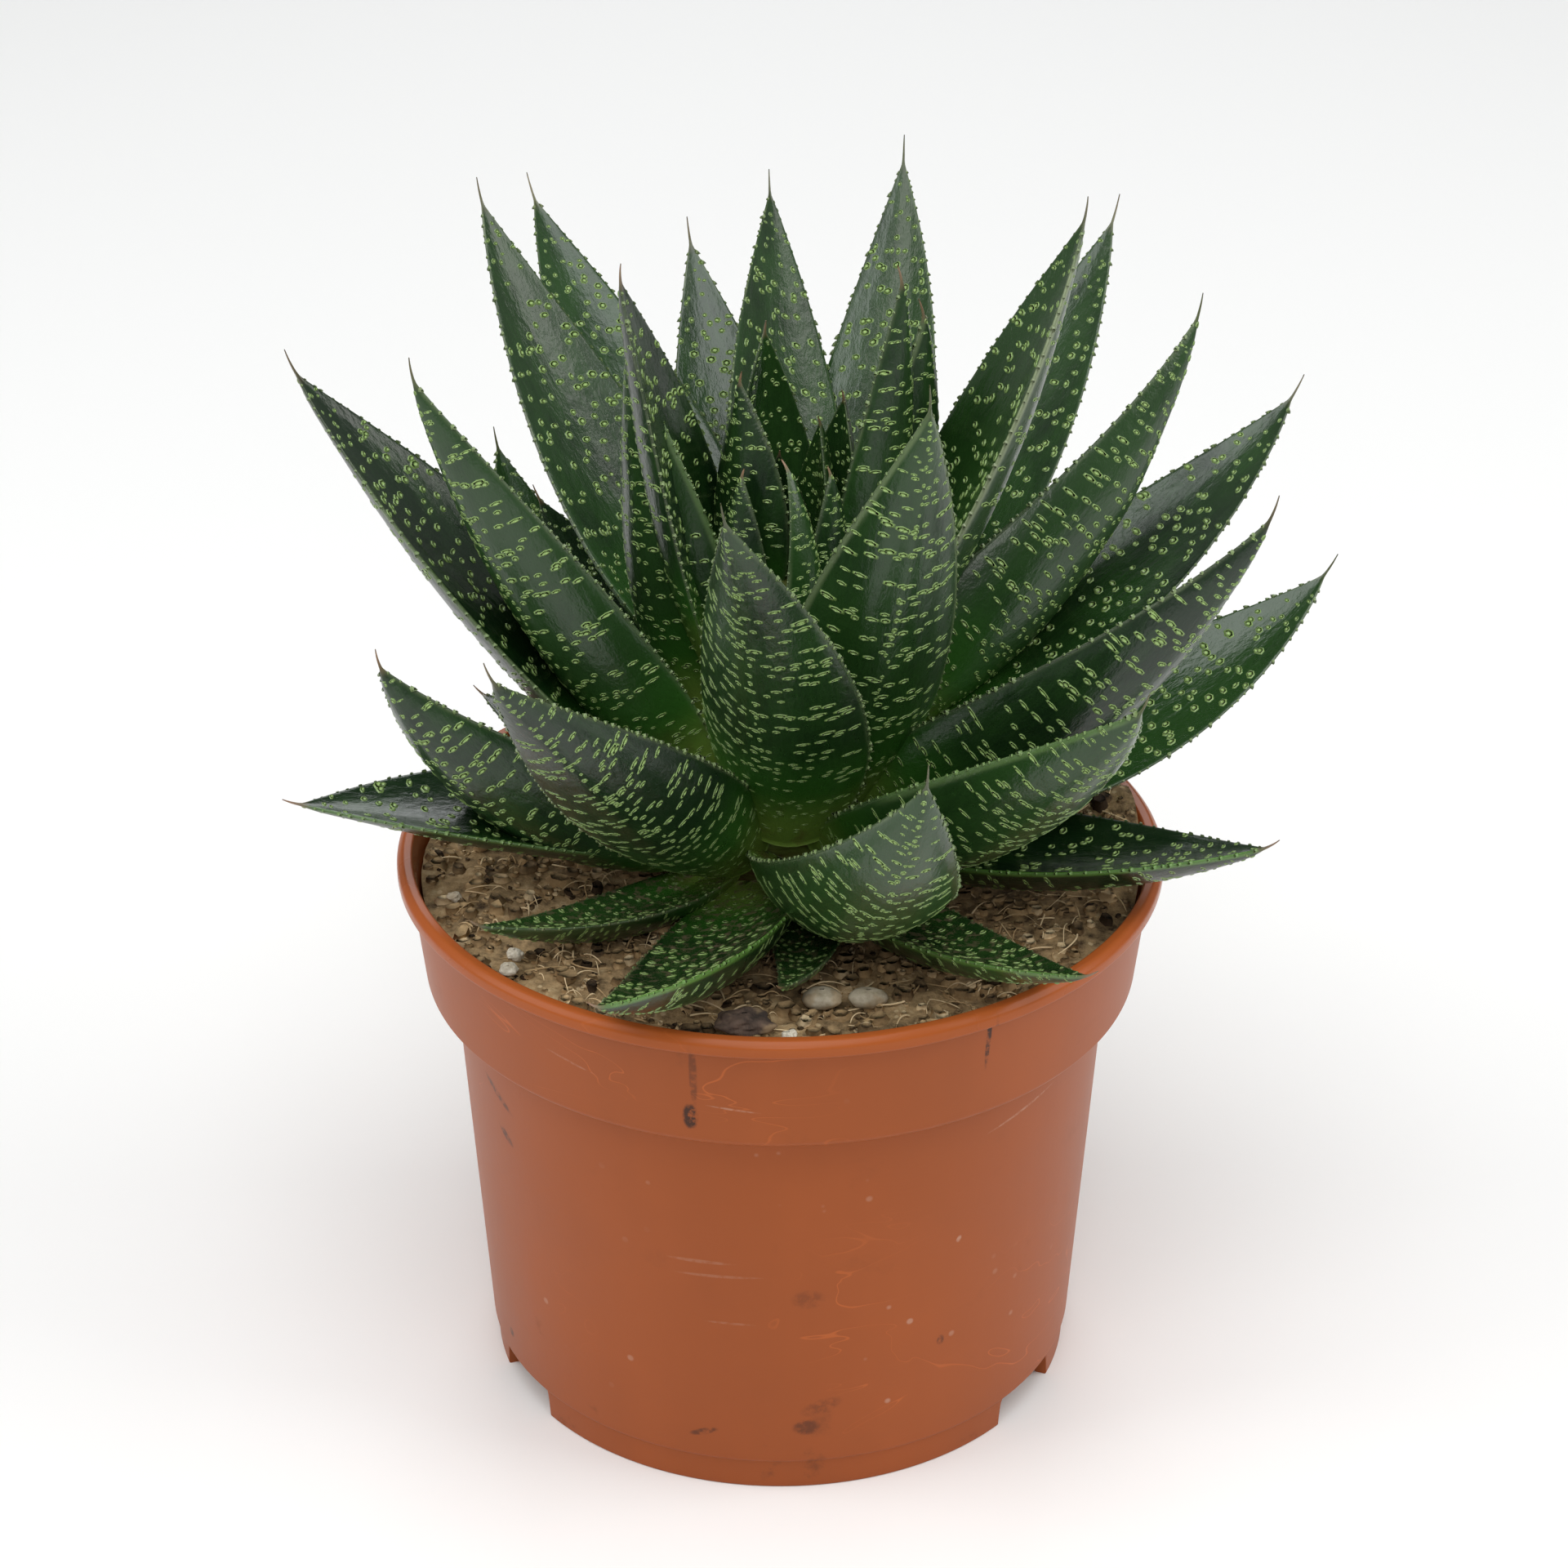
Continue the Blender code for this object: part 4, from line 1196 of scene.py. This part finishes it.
def body_marks(form, share, angle):
    """Closeness to the root for the pale base colour and the painted glow, closeness to a margin, and 0
    for no spot.
    """
    base_and_glow = np.clip(1.0 - share / 0.40, 0.0, 1.0)
    width = form.at(share)[..., 9]
    from_margin = 0.5 * width * (1.0 - np.abs(np.cos(angle)))
    margin = np.clip(1.0 - from_margin / MARGIN_WIDTH, 0.0, 1.0)
    return np.stack([base_and_glow, margin, 0.0 * base_and_glow], axis=-1)


def add_blade(gathering, form):
    """The leaf's own skin as a grid of stations and section points, closed at root and tip."""
    stations = max(24, round(form.leaf.length / STATION_PITCH))
    near_tip = np.linspace(1.0 - 2.0 * AWN_SHARE, 1.0, 12)
    share = np.unique(np.concatenate([np.linspace(0.0, 1.0, stations), near_tip]))
    angle = np.linspace(0.0, 2.0 * np.pi, SECTION_POINTS, endpoint=False)
    share, angle = np.meshgrid(share, angle, indexing="ij")
    points, faces = closed_grid(form.skin(share, angle))
    place = form.place_mark(share, angle).reshape(-1, 3)
    marks = body_marks(form, share, angle).reshape(-1, 3)
    place = np.vstack([place, place[:1], place[-1:]])
    marks = np.vstack([marks, marks[:1], marks[-1:]])
    gathering.add(points, faces, leaf_place=place, leaf_marks=marks)


def cap_faces(sides):
    """Faces of two rings of points with a pole under the first and one over the second."""
    return [
        grid_faces(2, sides),
        fan_faces(2 * sides, np.arange(sides), True),
        fan_faces(2 * sides + 1, sides + np.arange(sides), False),
    ]


def dome_shape(sides):
    """A low dome on a round base: rings as (distance, height, spot mark), then a pole below and above."""
    rings = ((1.08, -0.10, 0.20), (0.72, 0.70, 1.0))
    turn = np.linspace(0.0, 2.0 * np.pi, sides, endpoint=False)
    reach = np.concatenate([np.full(sides, ring[0]) for ring in rings] + [[0.0, 0.0]])
    height = np.concatenate([np.full(sides, ring[1]) for ring in rings] + [[-1.0, 1.0]])
    spot = np.concatenate([np.full(sides, ring[2]) for ring in rings] + [[0.0, 1.0]])
    turn = np.concatenate([turn, turn, [0.0, 0.0]])
    return reach, turn, height, spot, cap_faces(sides)


def spot_rows(form, rng, row_pitch, spot_pitch, keep, face):
    """Rows of spots across one face: where they lie as shares and section angles.

    The rows close up towards root and tip, lean and wave, and lose some of their spots.
    """
    length, width = form.leaf.length, form.leaf.width
    even = np.linspace(0.0, 1.0, 200)
    middle = np.sin(np.pi * np.clip((even - 0.06) / 0.80, 0.0, 1.0)) ** 0.7
    wide = row_pitch * (0.50 + 0.50 * middle)
    passed = np.concatenate([[0.0], np.cumsum(length / 200.0 / (0.5 * (wide[1:] + wide[:-1])))])
    rows = np.interp(np.arange(0.5, passed[-1], 1.0), passed, even)
    rows = rows + rng.normal(0.0, 0.22 * row_pitch / length, len(rows))
    in_row = np.arange(-0.5 * width, 0.5 * width, spot_pitch)
    shape = (len(rows), len(in_row))
    across = in_row[None] + rng.uniform(0.0, spot_pitch, (len(rows), 1))
    across = across + rng.normal(0.0, 0.17 * spot_pitch, shape)
    lean = rng.normal(0.0, 0.20, (len(rows), 1)) + 0.10 * np.sin(form.seed)
    wave = 0.55 * np.sin(0.55 * across + rng.uniform(0.0, 6.3, (len(rows), 1)))
    jitter = rng.normal(0.0, 0.16 * spot_pitch, shape)
    share = rows[:, None] + (lean * across + wave + jitter) / length
    half = 0.5 * form.at(share)[..., 9]
    u = across / half
    kept = (np.abs(u) < 0.93) & (rng.uniform(0.0, 1.0, shape) < keep)
    kept &= (share > 0.05) & (share < 1.0 - 1.7 * AWN_SHARE)
    angle = face * np.arccos(np.clip(u[kept], -0.93, 0.93))
    return share[kept], angle


def add_domes(gathering, form, share, angle, along, across, tall):
    """Domes on the skin: each of their points is the skin at that offset, raised along the normal."""
    if len(share) == 0:
        return
    reach, turn, height, spot, faces = dome_shape(SPOT_SIDES)
    half = 0.5 * form.at(share)[:, 9]
    step_share = along[:, None] * reach * np.cos(turn) / form.leaf.length
    step_angle = across[:, None] * reach * np.sin(turn) / (half * np.abs(np.sin(angle)))[:, None]
    at_share = share[:, None] + step_share
    at_angle = angle[:, None] + step_angle
    normal = form.outward(share, angle)
    points = form.skin(at_share, at_angle) + normal[:, None] * (tall[:, None] * height)[..., None]
    marks = body_marks(form, at_share, at_angle)
    marks[..., 1] = 0.0
    marks[..., 2] = spot
    place = form.place_mark(at_share, at_angle)
    gathering.add_copies(points, faces, leaf_place=place, leaf_marks=marks)


def add_spots(gathering, form, rng, settings):
    """Long low spots in close rows on the outer face, rounder and taller ones on the inner face."""
    small = np.clip(form.leaf.width / FULL_WIDTH, 0.55, 1.0)
    row_pitch, spot_pitch = settings.row_pitch * small, settings.spot_pitch * small
    for face, row, pitch, keep, along, across, tall in (
        (-1.0, row_pitch, spot_pitch, 0.82, 0.42, 0.86, 0.12),
        (1.0, row_pitch * 1.10, spot_pitch * 1.25, 0.72, 0.68, 0.74, 0.24),
    ):
        share, angle = spot_rows(form, rng, row, pitch, keep, face)
        grown = 0.62 + 0.38 * np.clip((share - 0.08) / 0.3, 0.0, 1.0)
        grown *= np.clip((1.0 - share) / 0.25, 0.55, 1.0) * small
        along = along * grown * rng.uniform(0.75, 1.25, len(share))
        across = across * grown * rng.uniform(0.65, 1.30, len(share))
        add_domes(gathering, form, share, angle, along, across, tall * grown)


def line_places(form, rng, pitch, start=0.05):
    """Shares along a line on the leaf, a random step of about one pitch apart."""
    gaps = rng.uniform(0.55, 1.45, int(2.0 * form.leaf.length / pitch)) * pitch / form.leaf.length
    share = start + np.cumsum(gaps)
    return share[share < 1.0 - 1.2 * AWN_SHARE]


def add_keel_spots(gathering, form, rng, settings):
    """A line of small spots down the keel of the outer face."""
    share = line_places(form, rng, settings.tooth_pitch * 1.2, 0.30)
    angle = -0.5 * np.pi + rng.normal(0.0, 0.02, len(share))
    size = rng.uniform(0.28, 0.48, len(share))
    add_domes(gathering, form, share, angle, size * 1.2, size, size * 0.45)


def add_teeth(gathering, form, rng, settings):
    """Horny teeth on both margins: rings round a spike that leans out and towards the leaf's tip."""
    sides = TOOTH_SIDES
    turn = np.linspace(0.0, 2.0 * np.pi, sides, endpoint=False)
    reach = np.concatenate([np.full(sides, 1.15), np.full(sides, 0.72), [0.0, 0.0]])
    height = np.concatenate([np.full(sides, -0.30), np.full(sides, 0.45), [-0.5, 1.0]])
    turn = np.concatenate([turn, turn, [0.0, 0.0]])
    for margin, side in ((0.0, 1.0), (np.pi, -1.0)):
        share = line_places(form, rng, settings.tooth_pitch, 0.07)
        angle = np.full(len(share), margin)
        values = form.at(share)
        across, inward = values[:, 3:6], values[:, 6:9]
        ahead = np.cross(across, inward) * -1.0
        big = rng.uniform(0.0, 1.0, len(share)) ** 2
        small = np.clip(form.leaf.width / FULL_WIDTH, 0.5, 1.0)
        wide = (0.24 + 0.22 * big) * small
        tall = (0.26 + 0.52 * big) * small
        out = side * across + ahead * 0.45 + inward * rng.normal(0.05, 0.15, (len(share), 1))
        out = out / np.linalg.norm(out, axis=1, keepdims=True)
        cosine, sine = np.cos(turn)[None, :, None], np.sin(turn)[None, :, None]
        round_by = cosine * ahead[:, None] + sine * inward[:, None]
        root = form.skin(share, angle)
        points = (
            root[:, None]
            + round_by * (wide[:, None] * reach)[..., None]
            + out[:, None] * (tall[:, None] * height)[..., None]
        )
        each = np.broadcast_to(share[:, None], points.shape[:2])
        at_angle = np.broadcast_to(angle[:, None], points.shape[:2])
        marks = np.zeros(points.shape)
        marks[..., 1] = 1.0
        marks[..., 2] = 0.55
        place = form.place_mark(each, at_angle)
        gathering.add_copies(points, cap_faces(sides), leaf_place=place, leaf_marks=marks)


def leaf_material(settings):
    """Glossy dark green skin with fine lengthwise grain, a painted see-through glow and a partly painted
    pale yellow-green root, pale spots and margins.
    """
    graph = Graph("leaf_green", {"Coat Roughness": 0.12, "Specular IOR Level": 0.55})
    place, (_, _, face) = graph.mark("leaf_place")
    _, (base_and_glow, margin, spot) = graph.mark("leaf_marks")
    _, (tan, dusty, shade) = graph.mark("leaf_tone")
    _, (pale, green, _) = graph.mark("leaf_line")
    patch = graph.clouds(graph.stretch(place, (0.055, 0.12, 3.0)), 1.0, 4.0, 0.6)
    grain = graph.clouds(graph.stretch(place, (0.25, 2.2, 5.0)), 1.0, 3.0, 0.6)
    skin = graph.ramp(
        patch * 0.75 + grain * 0.25 + shade * 0.2,
        (0.36, settings.deep),
        (0.62, settings.fresh),
    )
    blush = graph.clouds(graph.stretch(place, (0.16, 0.20, 3.0)), 1.0, 3.0).between(0.50, 0.72)
    root = graph.mix(blush * 0.7, settings.base, BLUSH)
    # Painted glow: saturated green near the root, standing in for light shining through the leaf.
    painted_glow = graph.mix(base_and_glow.between(0.10, 0.65), skin, PAINTED_GLOW_GREEN)
    # Pale yellow-green base near the root: partly the leaf's real colour, partly painted light that
    # brightens the shaded root.
    based = graph.mix(base_and_glow.between(0.50, 0.92), painted_glow, root)
    spotted = graph.mix(spot * (1.0 - base_and_glow * 0.35), based, settings.spot)
    horny = graph.clouds(graph.stretch(place, (0.11, 0.0, 3.0)), 1.0, 2.0).between(0.42, 0.70)
    thin = margin.between(0.45, 1.0) * (spot * 0.45 + horny * 0.4 + 0.12)
    ridge = thin.apply("MAXIMUM", thin, margin.between(0.1, 0.7) * pale)
    edged = graph.mix(ridge, spotted, settings.margin)
    lined = graph.mix(margin.between(0.2, 0.8) * green * 0.8, edged, LINE_GREEN)
    tipped = graph.mix(tan, lined, settings.awn)
    dust_cloud = graph.clouds(graph.stretch(place, (0.5, 0.5, 5.0)), 1.0, 6.0, 0.75)
    dust = dust_cloud.between(0.50, 0.62) * dusty
    graph.set("Base Color", graph.mix(dust * 0.85, tipped, LEAF_DUST))
    wax = graph.clouds(graph.stretch(place, (0.35, 0.7, 4.0)), 1.0, 3.0, 0.6)
    graph.set("Roughness", settings.gloss + wax * 0.12 - face * 0.02 + dust * 0.5 + spot * 0.08)
    graph.set("Coat Weight", 0.08 + face * 0.06 - dusty * 0.12)
    pores = graph.clouds(graph.stretch(place, (3.0, 4.0, 5.0)), 1.0, 3.0)
    soft = graph.bump(wax, 0.35, 0.0005)
    graph.set("Normal", graph.bump(grain * 0.5 + pores * 0.5 + dust * 1.5, 0.30, 0.00016, soft))
    return graph.material


def add_tones(gathering, form, rng):
    """Marks over the whole leaf: tan of its tip, dust and its own shade; then its lined margins."""
    place = np.vstack(gathering.marks["leaf_place"])
    share = (place[:, 0] - form.seed * MARK_SHIFT) / form.leaf.length
    strength = rng.uniform(0.15, 0.45) if form.leaf.length > LARGE_LEAF else rng.uniform(0.7, 1.0)
    tan = np.clip((share - 1.0 + 1.5 * AWN_SHARE) / AWN_SHARE, 0.0, 1.0) * strength
    lying = form.leaf.name.startswith("leaf_ground")
    facing_up = place[:, 2] > 0.0
    dusty = np.where(facing_up, 0.9 if lying else 0.0, 0.0) * np.clip(1.2 - share, 0.0, 1.0)
    shade = np.full(len(place), rng.uniform(-1.0, 1.0))
    gathering.marks["leaf_tone"] = [np.stack([tan, dusty, shade], axis=-1)]
    side, start, end, pale, green = LINED_MARGINS.get(form.leaf.name, (0, 0.0, 1.0, 0.0, 0.0))
    on_line = np.clip((share - start) / 0.06, 0.0, 1.0) * np.clip((end - share) / 0.06, 0.0, 1.0)
    on_line *= place[:, 1] * side >= 0.0
    lines = np.stack([on_line * pale, on_line * green, 0.0 * share], axis=-1)
    gathering.marks["leaf_line"] = [lines]


class GASTERIA_OT_leaves(bpy.types.Operator):
    """Grow the leaves with their spots and toothed margins"""

    bl_idname = "gasteria.leaves"
    bl_label = "Leaves"

    def execute(self, context):
        settings = context.scene.gasteria_leaves
        surface = leaf_material(settings)
        for seed, leaf in enumerate(LEAVES, start=1):
            form = LeafForm(leaf, seed)
            rng = np.random.default_rng(seed)
            gathering = Gathering()
            add_blade(gathering, form)
            add_spots(gathering, form, rng, settings)
            add_keel_spots(gathering, form, rng, settings)
            add_teeth(gathering, form, rng, settings)
            add_tones(gathering, form, rng)
            gathering.piece(leaf.name.replace("leaf", "blade"), surface, "leaf_green", leaf.name)
        return {"FINISHED"}


def studio_floor(settings):
    """A wide flat disc, well past what any view sees."""
    bpy.ops.mesh.primitive_circle_add(vertices=96, radius=4.0, fill_type="NGON")
    floor = bpy.context.object
    floor.name = "studio_floor"
    graph = Graph("studio_floor", {"Roughness": 0.9, "Specular IOR Level": 0.1})
    graph.set("Base Color", tuple(settings.floor))
    floor.data.materials.append(graph.material)


def soft_box(name, place, aim, size, power, tint):
    """A square lamp at a place, turned to shine at a point."""
    lamp = bpy.data.lights.new(name, "AREA")
    lamp.color = tint
    lamp.shape = "SQUARE"
    lamp.size = size
    lamp.energy = power
    made = bpy.data.objects.new(name, lamp)
    made.location = place
    made.rotation_euler = (Vector(aim) - Vector(place)).to_track_quat("-Z", "Y").to_euler()
    bpy.context.scene.collection.objects.link(made)


def camera(settings):
    """The camera circles a point over the pot and looks down past it."""
    rise, pitch = settings.camera_rise, settings.camera_pitch
    lens = bpy.data.cameras.new("camera")
    lens.sensor_width = 36.0
    lens.lens = settings.lens
    lens.clip_start = 0.01
    made = bpy.data.objects.new("camera", lens)
    back, up = math.cos(rise) * settings.camera_distance, math.sin(rise) * settings.camera_distance
    made.location = (0.0, -back, settings.camera_height + up)
    made.rotation_euler = Euler((0.5 * math.pi - pitch, 0.0, -settings.camera_yaw))
    bpy.context.scene.collection.objects.link(made)
    bpy.context.scene.camera = made


class GASTERIA_OT_stage(bpy.types.Operator):
    """Set the floor, the studio light and the camera"""

    bl_idname = "gasteria.stage"
    bl_label = "Stage"

    def execute(self, context):
        settings = context.scene.gasteria_stage
        studio_floor(settings)
        camera(settings)
        world = bpy.data.worlds.new("studio")
        world.use_nodes = True
        background = world.node_tree.nodes["Background"]
        background.inputs["Color"].default_value = (1.0, 1.0, 1.0, 1.0)
        background.inputs["Strength"].default_value = settings.sky
        context.scene.world = world
        middle = (0.0, 0.0, 0.10)
        cool, warm = (0.97, 0.99, 1.0), (1.0, 0.985, 0.95)
        for name, place, size, power, tint in (
            ("top_box", (0.0, -0.45, 1.40), 1.10, 10.5, cool),
            ("front_box", (0.0, -1.25, 0.95), 0.45, 2.6, warm),
            ("left_box", (-1.05, -0.20, 0.90), 0.80, 5.0, warm),
            ("right_box", (1.05, -0.15, 0.85), 0.80, 5.4, warm),
            ("back_box", (0.0, 1.05, 0.85), 0.60, 2.6, cool),
        ):
            soft_box(name, place, middle, size, power * settings.key, tint)
        context.scene.view_settings.view_transform = "Standard"
        return {"FINISHED"}


class GASTERIA_PT_build(bpy.types.Panel):
    """Sidebar panel with the settings and the steps"""

    bl_idname = "GASTERIA_PT_build"
    bl_label = "Potted gasteria"
    bl_space_type = "VIEW_3D"
    bl_region_type = "UI"
    bl_category = "Gasteria"

    def draw(self, context):
        for title, group, operator in STEPS:
            box = self.layout.box()
            box.label(text=title)
            settings = getattr(context.scene, group)
            for name in settings.bl_rna.properties.keys():
                if name not in {"rna_type", "name"}:
                    box.prop(settings, name)
            box.operator(operator)


STEPS = (
    ("Pot", "gasteria_pot", "gasteria.pot"),
    ("Soil", "gasteria_soil", "gasteria.soil"),
    ("Grains", "gasteria_soil", "gasteria.grains"),
    ("Stem", "gasteria_leaves", "gasteria.stem"),
    ("Leaves", "gasteria_leaves", "gasteria.leaves"),
    ("Stage", "gasteria_stage", "gasteria.stage"),
)
GROUPS = {
    "gasteria_leaves": LeafSettings,
    "gasteria_pot": PotSettings,
    "gasteria_soil": SoilSettings,
    "gasteria_stage": StageSettings,
}
CLASSES = (
    *GROUPS.values(),
    GASTERIA_OT_pot,
    GASTERIA_OT_soil,
    GASTERIA_OT_grains,
    GASTERIA_OT_stem,
    GASTERIA_OT_leaves,
    GASTERIA_OT_stage,
    GASTERIA_PT_build,
)


def register():
    for cls in CLASSES:
        bpy.utils.register_class(cls)
    for name, group in GROUPS.items():
        setattr(bpy.types.Scene, name, bpy.props.PointerProperty(type=group))


def unregister():
    for name in GROUPS:
        delattr(bpy.types.Scene, name)
    for cls in reversed(CLASSES):
        bpy.utils.unregister_class(cls)


def main():
    register()
    bpy.ops.gasteria.pot()
    bpy.ops.gasteria.soil()
    bpy.ops.gasteria.grains()
    bpy.ops.gasteria.stem()
    bpy.ops.gasteria.leaves()
    bpy.ops.gasteria.stage()


if __name__ == "__main__":
    main()
